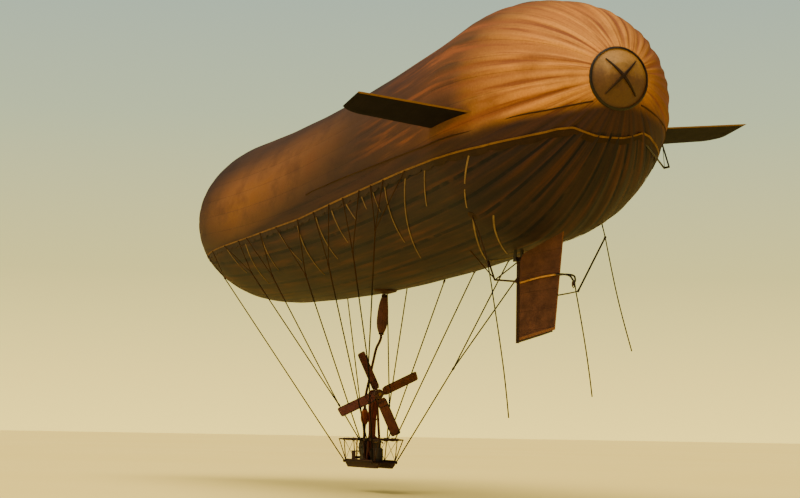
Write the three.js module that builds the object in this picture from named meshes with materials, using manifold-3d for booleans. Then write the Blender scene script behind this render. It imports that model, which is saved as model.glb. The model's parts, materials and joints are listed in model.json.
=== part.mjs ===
// A non-rigid pressure airship of about 1906, as a 1:2 scale model.
// Millimetres of the model, +X to the nose, +Y to port, +Z up, origin on the hull's axis at mid-length.
import * as THREE from "three";
import { mergeVertices } from "three/addons/utils/BufferGeometryUtils.js";
import Module from "manifold-3d";

const wasm = await Module();
wasm.setup();

// Driving dimensions
const GAP = 0.3; // between pieces that touch
const SPECK = 0.05;
const HULL_LENGTH = 24000;
const HULL_RADIUS = 2142;
const NOSE_LENGTH = 6180;
const NOSE_POWER = 2.58;
const STERN_LENGTH = 3420;
const STERN_POWER = 1.715;
const HULL_SAG = 558; // how far both ends of the axis rise above its middle
const SHELL = 10;
const HULL_SIDES = 48;
const STERN_STEPS = 8;
const MIDDLE_STEPS = 7;
const NOSE_STEPS = 11;
const VALVE_RADIUS = 520;

// The belt's line in side view, x and z.
const BELT_LINE = [
  [-12500, -340],
  [-11540, -320],
  [-11250, -300],
  [-10740, -370],
  [-10000, -440],
  [-8900, -490],
  [-7000, -510],
  [-3750, -590],
  [-500, -680],
  [3700, -665],
  [6500, -640],
  [12500, -600],
];
const BELT_HALF_HEIGHT = 40;
const BELT_THICKNESS = 22;

const FIN_THICKNESS = 36;
const FIN_ROOT_RISE = 48;
const FIN_DIHEDRAL = 0.172;
const FIN_INCIDENCE = 0.125;
// Plan of the port fin, x and y; the root lies inside the hull and is cut off by it.
const FIN_PLAN = [
  [-8780, 1900],
  [-8480, 3730],
  [-9570, 3690],
  [-10040, 1600],
];

const POST_X = -7800;
const POST_RADIUS = 32;
const POST_TOP = -2040;
const POST_FOOT = -3610;
const RUDDER_THICKNESS = 40;
// Side view of the rudder's panel, x and z, behind the post.
const RUDDER_PLAN = [
  [-7930, -2135],
  [-7760, -2135],
  [-7760, -3580],
  [-9420, -3440],
  [-9755, -1750],
  [-8060, -1990],
];
const BEARING_Z = -2080;
const BEARING_HEIGHT = 40;
const BOOM_Z = -2480;

const ROPE_RADIUS = 13;
const BRIDLE_RADIUS = 9;
const ROPE_STAND_OFF = 32; // from the hull to the rope's middle at the belt
const BRIDLE_LENGTH = 1200;
const HANDLING_ROPE_RADIUS = 9;
const EYE_LENGTH = 24;

const CAR_X = 400; // middle of the car
const FLOOR_TOP = -5900;
const FLOOR_THICKNESS = 30;
const FLOOR_HALF_LENGTH = 1050;
const FLOOR_HALF_WIDTH = 250;
const SKID_DEPTH = 118;
const RAIL_Z = -5420;
const RAIL_HALF_LENGTH = 1400;
const RAIL_HALF_WIDTH = 275;
const RAIL_RADIUS = 30;
const RAIL_TIP_RADIUS = 12;
const RAIL_STRAIGHT = 800; // the rail tapers beyond this from its middle
const UPRIGHT_RADIUS = 13;
const BRACE_RADIUS = 6;

const HUB_Z = -4415;
const PROPELLER_X = -120;
const PROPELLER_RADIUS = 1000;
const BLADE_COUNT = 4;
const BLADE_WIDTH = 205;
const BLADE_ROOT = 116;
const BLADE_THICKNESS = 16;
const BLADE_PITCH = 0.42;
const BLADE_TURN = -0.45; // how far the first blade leans from the vertical, to port when negative
const HUB_RADIUS = 105;
const HUB_HALF_LENGTH = 50;
const SHAFT_RADIUS = 28;
const HOUSING_RADIUS = 62;

const COLOURS = {
  envelope: 0x8a6a34,
  canvas: 0x5a3b26,
  belt: 0xb7a077,
  rope: 0x2c2a22,
  wood: 0x5b4029,
  steel: 0x3b3a38,
  red: 0x7a2f22,
  brass: 0x8c7440,
};

const group = new THREE.Group();

// Solids

const v = (x, y, z) => new THREE.Vector3(x, y, z);

function solidOf(geometry, reach = 1e-3) {
  const bare = geometry.index ? geometry.toNonIndexed() : geometry.clone();
  bare.deleteAttribute("normal");
  bare.deleteAttribute("uv");
  const merged = mergeVertices(bare, reach);
  const corners = [];
  const index = merged.index.array;
  for (let i = 0; i < index.length; i += 3) {
    const [a, b, c] = [index[i], index[i + 1], index[i + 2]];
    if (a !== b && b !== c && c !== a) corners.push(a, b, c);
  }
  const make = (triVerts) =>
    new wasm.Manifold(
      new wasm.Mesh({
        numProp: 3,
        vertProperties: merged.attributes.position.array,
        triVerts: new Uint32Array(triVerts),
      }),
    );
  const solid = make(corners);
  return solid.volume() < 0 ? make(corners.reverse()) : solid;
}

function geometryOf(solid) {
  const mesh = solid.getMesh();
  const geometry = new THREE.BufferGeometry();
  geometry.setAttribute("position", new THREE.BufferAttribute(new Float32Array(mesh.vertProperties), 3));
  return geometry.setIndex(new THREE.BufferAttribute(new Uint32Array(mesh.triVerts), 1));
}

// A cut leaves some corners a hair apart, so each piece has those closer than SPECK made one.
function add(name, solid, colour, roughness = 0.8, metalness = 0) {
  const geometry = geometryOf(solidOf(geometryOf(solid), SPECK));
  geometry.computeVertexNormals();
  const material = new THREE.MeshStandardMaterial({ color: colour, roughness, metalness });
  const piece = new THREE.Mesh(geometry, material);
  piece.name = name;
  group.add(piece);
}

const join = (solids) => wasm.Manifold.union(solids);

// The biggest body of a solid that a cut may have left in bits.
function biggest(solid) {
  return solid.decompose().reduce((a, b) => (a.volume() > b.volume() ? a : b));
}

function mirrored(solid) {
  return solid.mirror([0, 1, 0]);
}

function box(centre, size) {
  return solidOf(new THREE.BoxGeometry(...size).translate(...centre));
}

function rod(from, to, radius, sides = 8, radiusEnd = radius) {
  const along = to.clone().sub(from);
  const geometry = new THREE.CylinderGeometry(radiusEnd, radius, along.length(), sides);
  geometry.applyQuaternion(new THREE.Quaternion().setFromUnitVectors(v(0, 1, 0), along.normalize()));
  const middle = from.clone().add(to).multiplyScalar(0.5);
  return solidOf(geometry.translate(middle.x, middle.y, middle.z));
}

function ball(centre, radius, sides = 8) {
  const geometry = new THREE.SphereGeometry(radius, sides, Math.max(4, sides / 2));
  return solidOf(geometry.translate(centre.x, centre.y, centre.z));
}

function knob(centre, radius) {
  return solidOf(new THREE.IcosahedronGeometry(radius).translate(centre.x, centre.y, centre.z));
}

// Rods through a list of points, with a ball at each bend.
function bentRod(points, radius, sides = 8) {
  const solids = [];
  points.slice(1).forEach((point, i) => solids.push(rod(points[i], point, radius, sides)));
  points.slice(1, -1).forEach((point) => solids.push(ball(point, radius * 1.06, sides)));
  return join(solids);
}

function tubeAlong(points, radius, steps, sides = 8) {
  const section = new THREE.Shape(
    Array.from({ length: sides }, (_, i) => {
      const angle = (i / sides) * 2 * Math.PI;
      return new THREE.Vector2(radius * Math.cos(angle), radius * Math.sin(angle));
    }),
  );
  const path = new THREE.CatmullRomCurve3(points);
  return solidOf(new THREE.ExtrudeGeometry(section, { steps, extrudePath: path }));
}

// A solid turned about the line from foot in the given direction; the profile gives radius and height.
function turned(profile, foot, direction, sides = 24) {
  const geometry = new THREE.LatheGeometry(profile.map(([r, h]) => new THREE.Vector2(r, h)), sides);
  geometry.applyQuaternion(new THREE.Quaternion().setFromUnitVectors(v(0, 1, 0), direction.clone().normalize()));
  return solidOf(geometry.translate(foot.x, foot.y, foot.z));
}

// A plate of the outline in x and z, its thickness along y, its middle at y = 0.
function sidePlate(outline, thickness) {
  const shape = new THREE.Shape(outline.map(([x, z]) => new THREE.Vector2(x, z)));
  const geometry = new THREE.ExtrudeGeometry(shape, { depth: thickness, bevelEnabled: false });
  return solidOf(geometry.rotateX(Math.PI / 2).translate(0, thickness / 2, 0));
}

// Hull

const halfLength = HULL_LENGTH / 2;
const noseStart = halfLength - NOSE_LENGTH;
const sternStart = -halfLength + STERN_LENGTH;
const axisHeight = (x) => HULL_SAG * (x / halfLength) ** 2;

function hullRadius(x) {
  const [reach, power] =
    x > noseStart ? [(x - noseStart) / NOSE_LENGTH, NOSE_POWER] : [(sternStart - x) / STERN_LENGTH, STERN_POWER];
  return reach <= 0 ? HULL_RADIUS : HULL_RADIUS * (1 - Math.min(reach, 1) ** power) ** (1 / power);
}

const holeAngle = Math.acos((VALVE_RADIUS / HULL_RADIUS) ** (STERN_POWER / 2));

// Points of the hull's profile from the stern to the nose as radius and x, grown outwards by an offset.
// An open profile starts at the valve's hole, a closed one at the stern's end.
function hullProfile(offset, open) {
  const points = [];
  const cap = (angle, power, length, start, sign) => {
    const x = start + sign * length * Math.sin(angle) ** (2 / power);
    const r = HULL_RADIUS * Math.cos(angle) ** (2 / power);
    points.push([r, x]);
  };
  if (!open) {
    cap(Math.PI / 2, STERN_POWER, STERN_LENGTH, sternStart, -1);
    cap((Math.PI / 2 + holeAngle) / 2, STERN_POWER, STERN_LENGTH, sternStart, -1);
  }
  for (let i = 0; i <= STERN_STEPS; i++) {
    cap(holeAngle * (1 - i / STERN_STEPS), STERN_POWER, STERN_LENGTH, sternStart, -1);
  }
  for (let i = 1; i < MIDDLE_STEPS; i++) {
    points.push([HULL_RADIUS, sternStart + ((noseStart - sternStart) * i) / MIDDLE_STEPS]);
  }
  for (let i = 0; i <= NOSE_STEPS; i++) {
    cap(((Math.PI / 2) * i) / NOSE_STEPS, NOSE_POWER, NOSE_LENGTH, noseStart, 1);
  }
  return points.map(([r, x], i) => {
    const before = points[Math.max(i - 1, 0)];
    const after = points[Math.min(i + 1, points.length - 1)];
    const slope = new THREE.Vector2(after[1] - before[1], before[0] - after[0]).normalize();
    const onAxis = r < 1;
    return [onAxis ? 0 : r + offset * slope.x, onAxis ? x + offset * Math.sign(x) : x + offset * slope.y];
  });
}

// Turns a profile of radius and x about the hull's axis, and bends the axis up at both ends.
function turnedOnAxis(profile, sides = HULL_SIDES) {
  const geometry = new THREE.LatheGeometry(profile.map(([r, x]) => new THREE.Vector2(r, x)), sides);
  geometry.rotateZ(-Math.PI / 2);
  const position = geometry.attributes.position;
  for (let i = 0; i < position.count; i++) {
    position.setZ(i, position.getZ(i) + axisHeight(position.getX(i)));
  }
  return solidOf(geometry);
}

const hullGrown = (offset) => turnedOnAxis(hullProfile(offset, false));
const hullCut = hullGrown(GAP);
const rim = hullProfile(0, true);
const lining = hullProfile(-SHELL, true).reverse();
add("envelope", turnedOnAxis([...rim, ...lining, rim[0]]), COLOURS.envelope, 0.7);

const ringSolid = turnedOnAxis(
  [
    [498, -11700],
    [532, -11700],
    [532, -11836],
    [524, -11848],
    [498, -11858],
    [498, -11700],
  ],
  36,
);
add("valve_ring", biggest(ringSolid.subtract(hullCut)), COLOURS.steel, 0.6);
const valveCore = turnedOnAxis(
  [
    [0, -11500],
    [VALVE_RADIUS - 12, -11500],
    [VALVE_RADIUS - 12, -12300],
    [0, -12300],
  ],
  36,
);
add("valve_plate", biggest(hullGrown(0).subtract(hullGrown(-14)).intersect(valveCore)), COLOURS.envelope);

function valveCross() {
  const reach = turnedOnAxis(
    [
      [0, -11500],
      [497, -11500],
      [497, -12300],
      [0, -12300],
    ],
    36,
  );
  const bars = [Math.PI / 4, -Math.PI / 4].map((angle) =>
    solidOf(
      new THREE.BoxGeometry(800, 1100, 44)
        .rotateX(angle)
        .translate(-halfLength, 0, axisHeight(-halfLength)),
    ),
  );
  return biggest(join(bars).intersect(reach).intersect(hullGrown(22)).subtract(hullCut));
}
add("valve_cross", valveCross(), COLOURS.wood);

// Belt

function beltHeight(x) {
  const after = BELT_LINE.findIndex(([station]) => station >= x);
  const [[x0, z0], [x1, z1]] = [BELT_LINE[after - 1], BELT_LINE[after]];
  return z0 + ((z1 - z0) * (x - x0)) / (x1 - x0);
}

function beltBand(growth) {
  const upper = BELT_LINE.map(([x, z]) => [x, z + BELT_HALF_HEIGHT + growth]);
  const lower = BELT_LINE.map(([x, z]) => [x, z - BELT_HALF_HEIGHT - growth]).reverse();
  return sidePlate([...upper, ...lower], 3 * HULL_RADIUS).intersect(hullGrown(BELT_THICKNESS + growth));
}
add("girdle_belt", biggest(beltBand(0).subtract(hullCut)), COLOURS.belt);
const beltCut = beltBand(GAP);

// Where the belt lies at a station on the port side, moved out by an offset.
function onBelt(x, offset) {
  const below = axisHeight(x) - beltHeight(x);
  const across = Math.sqrt(hullRadius(x) ** 2 - below ** 2);
  const outwards = v(0, across, -below).normalize();
  return v(x, across, beltHeight(x)).addScaledVector(outwards, offset);
}

// Fins

function finSolid() {
  const shape = new THREE.Shape(FIN_PLAN.map(([x, y]) => new THREE.Vector2(x, y)));
  const geometry = new THREE.ExtrudeGeometry(shape, { depth: FIN_THICKNESS, bevelEnabled: false });
  const position = geometry.attributes.position;
  const [rootX] = FIN_PLAN[0];
  for (let i = 0; i < position.count; i++) {
    const rise = FIN_DIHEDRAL * (position.getY(i) - 2100) + FIN_INCIDENCE * (rootX - position.getX(i));
    position.setZ(i, position.getZ(i) - FIN_THICKNESS / 2 + FIN_ROOT_RISE + rise);
  }
  return biggest(solidOf(geometry).subtract(hullCut));
}
const fin = finSolid();
add("fin_port", fin, COLOURS.canvas);
add("fin_starboard", mirrored(fin), COLOURS.canvas);

// Rudder

const BORE_RADIUS = POST_RADIUS + 1;

function rudderBearing() {
  const top = -1700;
  const half = 60;
  const plate = box([POST_X, 0, BEARING_Z - BEARING_HEIGHT / 2], [150, 2 * half + 32, BEARING_HEIGHT]);
  const cheeks = [-1, 1].map((side) =>
    box([POST_X, side * (half + 8), (top + BEARING_Z) / 2 - 10], [110, 16, top - BEARING_Z + 20]),
  );
  const bore = rod(v(POST_X, 0, BEARING_Z - 60), v(POST_X, 0, BEARING_Z + 20), BORE_RADIUS, 24);
  return join([plate, ...cheeks]).subtract(bore).subtract(hullCut);
}
add("rudder_bearing", biggest(rudderBearing()), COLOURS.steel, 0.5, 0.6);

function rudderBoom() {
  const eye = rod(v(POST_X, 0, BOOM_Z - 30), v(POST_X, 0, BOOM_Z + 30), BORE_RADIUS + 22, 24);
  const bore = rod(v(POST_X, 0, BOOM_Z - 40), v(POST_X, 0, BOOM_Z + 40), BORE_RADIUS, 24);
  const fore = v(POST_X + 50, 0, BOOM_Z);
  const struts = [
    bentRod([fore, v(-6690, 0, -2370), v(-6300, 0, -1900)], 18),
    rod(v(-6720, 0, -2370), v(-7000, 900, -1600), 12),
    rod(v(-6720, 0, -2370), v(-7000, -900, -1600), 12),
  ];
  return join([eye, ...struts]).subtract(bore).subtract(hullCut);
}
add("rudder_boom", biggest(rudderBoom()), COLOURS.wood);

function rudderPost() {
  const post = rod(v(POST_X, 0, POST_FOOT), v(POST_X, 0, POST_TOP), POST_RADIUS, 24);
  const head = rod(v(POST_X, 0, BEARING_Z + GAP), v(POST_X, 0, POST_TOP), 54, 24);
  return join([post, head]);
}
const post = rudderPost();
add("rudder_post", post, COLOURS.wood);

// A slot in the panel's leading edge leaves the bearings of the boom free.
function rudderPanel() {
  const clearOfPost = rod(v(POST_X, 0, POST_FOOT - 100), v(POST_X, 0, 0), POST_RADIUS + GAP, 24);
  const clearOfBoom = rod(v(POST_X, 0, BOOM_Z - 45), v(POST_X, 0, BOOM_Z + 45), BORE_RADIUS + 40, 24);
  return biggest(sidePlate(RUDDER_PLAN, RUDDER_THICKNESS).subtract(clearOfPost).subtract(clearOfBoom));
}
add("rudder_panel", rudderPanel(), COLOURS.canvas);

// Handling ropes trail aft as they do in flight. Each route runs from the eye that carries the rope to
// its free end, and the rope on the starboard side is shorter.
const SIDE_ROPE_ROUTE = [
  [-8712, 1258, -1527],
  [-8860, 1254, -1680],
  [-9080, 1251, -1940],
  [-9300, 1250, -2235],
  [-9490, 1250, -2610],
  [-9650, 1250, -3010],
  [-9820, 1250, -3420],
  [-9975, 1250, -3810],
  [-10120, 1250, -4200],
  [-10245, 1250, -4600],
  [-10350, 1250, -4990],
];
const SHORT_ROPE_ROUTE = [
  [-8712, -1258, -1527],
  [-8802, -1256, -1690],
  [-8940, -1252, -1990],
  [-9120, -1250, -2390],
  [-9300, -1250, -2770],
  [-9480, -1250, -3110],
  [-9670, -1250, -3440],
  [-9880, -1250, -3790],
];
const MIDDLE_ROPE_ROUTE = [
  [-10228, 0, -2735],
  [-10270, 0, -2860],
  [-10350, 0, -3050],
  [-10450, 0, -3290],
  [-10550, 0, -3540],
  [-10650, 0, -3800],
  [-10740, 0, -4060],
  [-10830, 0, -4340],
  [-10910, 0, -4620],
];

// A short stub whose end face meets the first face of a rope.
function ropeEye(from, route, radius) {
  const [foot, next] = route.map((p) => v(...p));
  const back = foot.clone().sub(next).normalize();
  const bend = foot.clone().addScaledVector(back, EYE_LENGTH);
  return join([
    rod(from, bend, radius, 8),
    knob(bend, radius * 1.2),
    rod(bend, foot.clone().addScaledVector(back, GAP), radius, 8),
  ]);
}

const BOW_RADIUS = 17;
const BOW_LOOP = v(-10215, 0, -2690);

// A light bow round the rudder, with its loop drooping behind the trailing edge.
function rudderBow() {
  const away = RUDDER_THICKNESS / 2 + BOW_RADIUS + GAP;
  const leg = [
    v(-7990, away, -2520),
    v(-8600, away + 3, -2494),
    v(-9300, away + 3, -2486),
    v(-9850, away + 14, -2512),
    v(-10130, away, -2575),
  ];
  const other = leg.map((p) => v(p.x, -p.y, p.z)).reverse();
  const hoop = tubeAlong([...leg, BOW_LOOP, ...other], BOW_RADIUS, 60);
  return join([hoop, ropeEye(BOW_LOOP, MIDDLE_ROPE_ROUTE, HANDLING_ROPE_RADIUS)]);
}
add("rudder_bow", rudderBow(), COLOURS.belt);

// Air duct

const DUCT_TOP = v(-400, 0, -2226);
const DUCT_FOOT = v(-215, 0, -3110);

add(
  "duct_collar",
  biggest(
    turned(
      [
        [0, 0],
        [275, 0],
        [250, 60],
        [90, 105],
        [0, 105],
      ],
      v(-440, 0, -2110),
      v(0, 0, -1),
      32,
    ).subtract(hullCut),
  ),
  COLOURS.wood,
);

function airSleeve() {
  const down = DUCT_FOOT.clone().sub(DUCT_TOP);
  const length = down.length();
  const profile = [
    [0, 0],
    [52, 0],
    [84, 0.12],
    [118, 0.35],
    [122, 0.6],
    [100, 0.82],
    [46, 1],
    [0, 1],
  ].map(([r, share]) => [r, share * length]);
  return turned(profile, DUCT_TOP, down, 20);
}
add("air_sleeve", airSleeve(), COLOURS.canvas);

const PIPE_RADIUS = 30;
const DUCT_DIRECTION = DUCT_FOOT.clone().sub(DUCT_TOP).normalize();
const BLOWER_CENTRE = v(420, 135, -5600);
const BLOWER_RADIUS = 200;
const SAC_TOP = v(368, 150, -4740);
const SAC_FOOT = v(398, 134, -5090);
const PIPE_ROUTE = [
  DUCT_FOOT.clone().addScaledVector(DUCT_DIRECTION, 0.9),
  DUCT_FOOT.clone().addScaledVector(DUCT_DIRECTION, 80),
  v(-115, 10, -3285),
  v(5, 35, -3420),
  v(105, 70, -3720),
  v(210, 110, -4080),
  v(320, 150, -4450),
  SAC_TOP,
  SAC_FOOT,
  v(BLOWER_CENTRE.x, BLOWER_CENTRE.y, -5250),
  v(BLOWER_CENTRE.x, BLOWER_CENTRE.y, -5401 + GAP),
];

function airPipe() {
  const down = SAC_FOOT.clone().sub(SAC_TOP);
  const sac = [
    [0, 0],
    [38, 0.02],
    [70, 0.25],
    [88, 0.55],
    [76, 0.8],
    [38, 0.98],
    [0, 1],
  ].map(([r, share]) => [r, share * down.length()]);
  return join([tubeAlong(PIPE_ROUTE, PIPE_RADIUS, 30, 10), turned(sac, SAC_TOP, down, 16)]);
}
add("air_pipe", airPipe(), COLOURS.steel);

function blowerCase() {
  const half = 55;
  const drum = rod(
    v(BLOWER_CENTRE.x, BLOWER_CENTRE.y - half, BLOWER_CENTRE.z),
    v(BLOWER_CENTRE.x, BLOWER_CENTRE.y + half, BLOWER_CENTRE.z),
    BLOWER_RADIUS - 1,
    32,
  );
  const foot = box([BLOWER_CENTRE.x, BLOWER_CENTRE.y, FLOOR_TOP + 60], [240, 2 * half, 120 - 2 * GAP]);
  const neck = rod(v(BLOWER_CENTRE.x, BLOWER_CENTRE.y, -5450), v(BLOWER_CENTRE.x, BLOWER_CENTRE.y, -5401), 40, 16);
  return join([drum, foot, neck]);
}
add("blower_case", blowerCase(), COLOURS.steel, 0.5, 0.5);

// Car

add(
  "car_floor",
  box([CAR_X, 0, FLOOR_TOP - FLOOR_THICKNESS / 2], [2 * FLOOR_HALF_LENGTH, 2 * FLOOR_HALF_WIDTH, FLOOR_THICKNESS]),
  COLOURS.wood,
);

const SILL_RADIUS = 18;
const SILL_Z = FLOOR_TOP + SILL_RADIUS + GAP;
const SILL_Y = FLOOR_HALF_WIDTH - SILL_RADIUS;

function carSide() {
  const foot = (x) => v(CAR_X + x, SILL_Y, SILL_Z);
  const head = (x) => v(CAR_X + x, RAIL_HALF_WIDTH, RAIL_Z);
  const last = FLOOR_HALF_LENGTH - SILL_RADIUS;
  const posts = [
    [-last, -RAIL_HALF_LENGTH],
    [-last, -last],
    [-340, -340],
    [340, 340],
    [last, last],
    [last, RAIL_HALF_LENGTH],
  ];
  const braces = [
    [-last, -340],
    [-340, 340],
    [340, last],
  ];
  const railEnd = RAIL_HALF_LENGTH + 20;
  return join([
    rod(head(-RAIL_STRAIGHT), head(RAIL_STRAIGHT), RAIL_RADIUS, 8),
    rod(head(RAIL_STRAIGHT), head(railEnd), RAIL_RADIUS, 8, RAIL_TIP_RADIUS),
    rod(head(-RAIL_STRAIGHT), head(-railEnd), RAIL_RADIUS, 8, RAIL_TIP_RADIUS),
    rod(foot(-last), foot(last), SILL_RADIUS, 8),
    ...posts.map(([a, b]) => rod(foot(a), head(b), UPRIGHT_RADIUS, 6, RAIL_TIP_RADIUS - 1)),
    ...braces.flatMap(([a, b]) => [rod(foot(a), head(b), BRACE_RADIUS, 4), rod(head(a), foot(b), BRACE_RADIUS, 4)]),
  ]);
}
const carFloorCut = box([0, 0, FLOOR_TOP - 200 + GAP], [5000, 2000, 400]);
const side = carSide().subtract(carFloorCut);
add("car_side_port", side, COLOURS.wood);
add("car_side_starboard", mirrored(side), COLOURS.wood);

// The bar between the rails' tips, where a rail is a little thicker than at its very end.
function carEnd(sign) {
  const reach = RAIL_HALF_WIDTH - RAIL_TIP_RADIUS - 1;
  const x = CAR_X + sign * RAIL_HALF_LENGTH;
  return rod(v(x, -reach, RAIL_Z), v(x, reach, RAIL_Z), RAIL_TIP_RADIUS + 2, 12);
}
add("car_end_front", carEnd(1), COLOURS.wood);
add("car_end_rear", carEnd(-1), COLOURS.wood);

function skid() {
  const top = FLOOR_TOP - FLOOR_THICKNESS - GAP;
  const bottom = top - SKID_DEPTH;
  const outline = [
    [-1150, top - 30],
    [-980, bottom],
    [980, bottom],
    [1150, top - 30],
    [1150, top],
    [-1150, top],
  ];
  return sidePlate(outline, 50).translate([CAR_X, 170, 0]);
}
add("skid_port", skid(), COLOURS.wood);
add("skid_starboard", mirrored(skid()), COLOURS.wood);

// Engine and drive

const MAST_FOOT = v(140, 168, FLOOR_TOP - 60);
const MAST_HEAD = v(100, 30, HUB_Z);
const HOUSING_BACK = PROPELLER_X + 105;
const CASE_BACK = 240;

// Two legs astride the engine carry the propeller's shaft.
function mast() {
  const leg = rod(MAST_FOOT, MAST_HEAD, 28, 12, 30);
  const tie = rod(v(120, -110, HUB_Z - 560), v(120, 110, HUB_Z - 560), 16, 8);
  const housing = rod(v(HOUSING_BACK, 0, HUB_Z), v(CASE_BACK, 0, HUB_Z), HOUSING_RADIUS, 24);
  const bore = rod(v(HOUSING_BACK - 30, 0, HUB_Z), v(CASE_BACK - 30, 0, HUB_Z), SHAFT_RADIUS + 1, 24);
  return join([leg, mirrored(leg), tie, housing]).subtract(bore).subtract(carFloorCut);
}
add("mast", mast(), COLOURS.wood);

const CRANK_Z = FLOOR_TOP + 150;

// The drive to the propeller runs in a flat upright case in front of the mast.
function driveCase() {
  const length = HUB_Z - CRANK_Z;
  const outline = new THREE.Shape();
  outline.absarc(0, 0, 98, 0, Math.PI, false);
  outline.lineTo(-58, -length);
  outline.absarc(0, -length, 58, Math.PI, 2 * Math.PI, false);
  const geometry = new THREE.ExtrudeGeometry(outline, { depth: 70, bevelEnabled: false, curveSegments: 10 });
  geometry.rotateX(Math.PI / 2).rotateZ(Math.PI / 2);
  return solidOf(geometry.translate(CASE_BACK + GAP, 0, HUB_Z));
}
add("drive_case", driveCase(), COLOURS.steel, 0.5, 0.4);

function engine() {
  const crankcase = box([-50, 0, FLOOR_TOP + 150], [520, 150, 300 - 2 * GAP]);
  const cylinders = [-230, -110, 10, 130].map((x) =>
    rod(v(x, 0, FLOOR_TOP + 280), v(x, 0, FLOOR_TOP + 460), 50, 16),
  );
  const boss = rod(v(180, 0, CRANK_Z), v(CASE_BACK, 0, CRANK_Z), 30, 16);
  return join([crankcase, ...cylinders, boss]);
}
add("engine", engine(), COLOURS.steel, 0.5, 0.5);

add(
  "fuel_tank",
  turned(
    [
      [0, GAP],
      [125, GAP],
      [125, 465],
      [117, 505],
      [92, 542],
      [52, 567],
      [0, 576],
    ],
    v(480, -84, FLOOR_TOP),
    v(0, 0, 1),
    24,
  ),
  COLOURS.red,
  0.4,
);

const BENCH_X = 1040;

function bench() {
  const seat = box([BENCH_X, 0, FLOOR_TOP + 210], [260, 380, 24]);
  const legs = [-1, 1].map((s) => box([BENCH_X, s * 170, FLOOR_TOP + 105], [220, 24, 210 - 2 * GAP]));
  return join([seat, ...legs]);
}
add("bench", bench(), COLOURS.wood);

const COLUMN_X = 1330;

function steering() {
  const column = rod(v(COLUMN_X, 0, FLOOR_TOP + GAP), v(COLUMN_X, 0, FLOOR_TOP + 470), 16, 12);
  const wheel = solidOf(new THREE.TorusGeometry(110, 10, 8, 24));
  const spokes = [0, Math.PI / 2].map((a) =>
    rod(v(-110 * Math.cos(a), -110 * Math.sin(a), 0), v(110 * Math.cos(a), 110 * Math.sin(a), 0), 7, 6),
  );
  const top = join([wheel, ...spokes]).translate([COLUMN_X, 0, FLOOR_TOP + 470]);
  return join([column, top]);
}
add("steering_column", steering(), COLOURS.brass, 0.4, 0.6);

// Propeller

function propellerHub() {
  const hub = rod(
    v(PROPELLER_X - HUB_HALF_LENGTH, 0, HUB_Z),
    v(PROPELLER_X + HUB_HALF_LENGTH, 0, HUB_Z),
    HUB_RADIUS,
    24,
  );
  const nut = rod(v(PROPELLER_X - 95, 0, HUB_Z), v(PROPELLER_X, 0, HUB_Z), 48, 16);
  const shaft = rod(v(PROPELLER_X, 0, HUB_Z), v(CASE_BACK - 40, 0, HUB_Z), SHAFT_RADIUS, 24);
  return join([hub, nut, shaft]);
}
add("propeller_hub", propellerHub(), COLOURS.steel, 0.5, 0.5);

function blade(turn) {
  const half = BLADE_WIDTH / 2;
  const corner = 30;
  const outline = new THREE.Shape();
  outline.moveTo(-half * 0.72, BLADE_ROOT);
  outline.lineTo(half * 0.72, BLADE_ROOT);
  outline.lineTo(half, BLADE_ROOT + 70);
  outline.lineTo(half, PROPELLER_RADIUS - 16 - corner);
  outline.quadraticCurveTo(half, PROPELLER_RADIUS - 12, half - corner, PROPELLER_RADIUS - 8);
  outline.lineTo(-half + corner, PROPELLER_RADIUS - 8);
  outline.quadraticCurveTo(-half, PROPELLER_RADIUS - 12, -half, PROPELLER_RADIUS - 16 - corner);
  outline.lineTo(-half, BLADE_ROOT + 70);
  const geometry = new THREE.ExtrudeGeometry(outline, { depth: BLADE_THICKNESS, bevelEnabled: false, curveSegments: 5 });
  geometry.translate(0, 0, -BLADE_THICKNESS / 2);
  const paddle = solidOf(geometry);
  const spar = rod(v(0, HUB_RADIUS + GAP, 0), v(0, PROPELLER_RADIUS * 0.72, 0), 18, 10, 12);
  // Built pointing up y in the plane of x and y: pitch turns it about its spar, then it is stood up.
  const pitched = new THREE.Matrix4().makeRotationY(Math.PI / 2 + BLADE_PITCH);
  const upright = new THREE.Matrix4().makeRotationX(Math.PI / 2 + turn);
  const place = new THREE.Matrix4().makeTranslation(PROPELLER_X, 0, HUB_Z);
  const matrix = place.multiply(upright).multiply(pitched);
  return join([paddle, spar]).transform(matrix.toArray());
}
for (let i = 0; i < BLADE_COUNT; i++) {
  add(`propeller_blade_${i + 1}`, blade(BLADE_TURN + (i * 2 * Math.PI) / BLADE_COUNT), COLOURS.red);
}

// Suspension ropes: a fan starts at a toggle bar on the car and each of its ropes ends in a bridle at the belt.

const TOGGLE_RADIUS = 22;
const TOGGLE_SIDES = 10;
const TOGGLE_PITCH = 60;
const TOGGLE_FLAT = TOGGLE_RADIUS * Math.cos(Math.PI / TOGGLE_SIDES);
const FORK_RADIUS = 20;
const KNOT_RADIUS = 16;
const ON_RAIL = v(0, RAIL_HALF_WIDTH + RAIL_RADIUS + GAP + TOGGLE_FLAT, RAIL_Z);
const ON_FLOOR = v(0, FLOOR_HALF_WIDTH + GAP + TOGGLE_FLAT, FLOOR_TOP - FLOOR_THICKNESS / 2);
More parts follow.
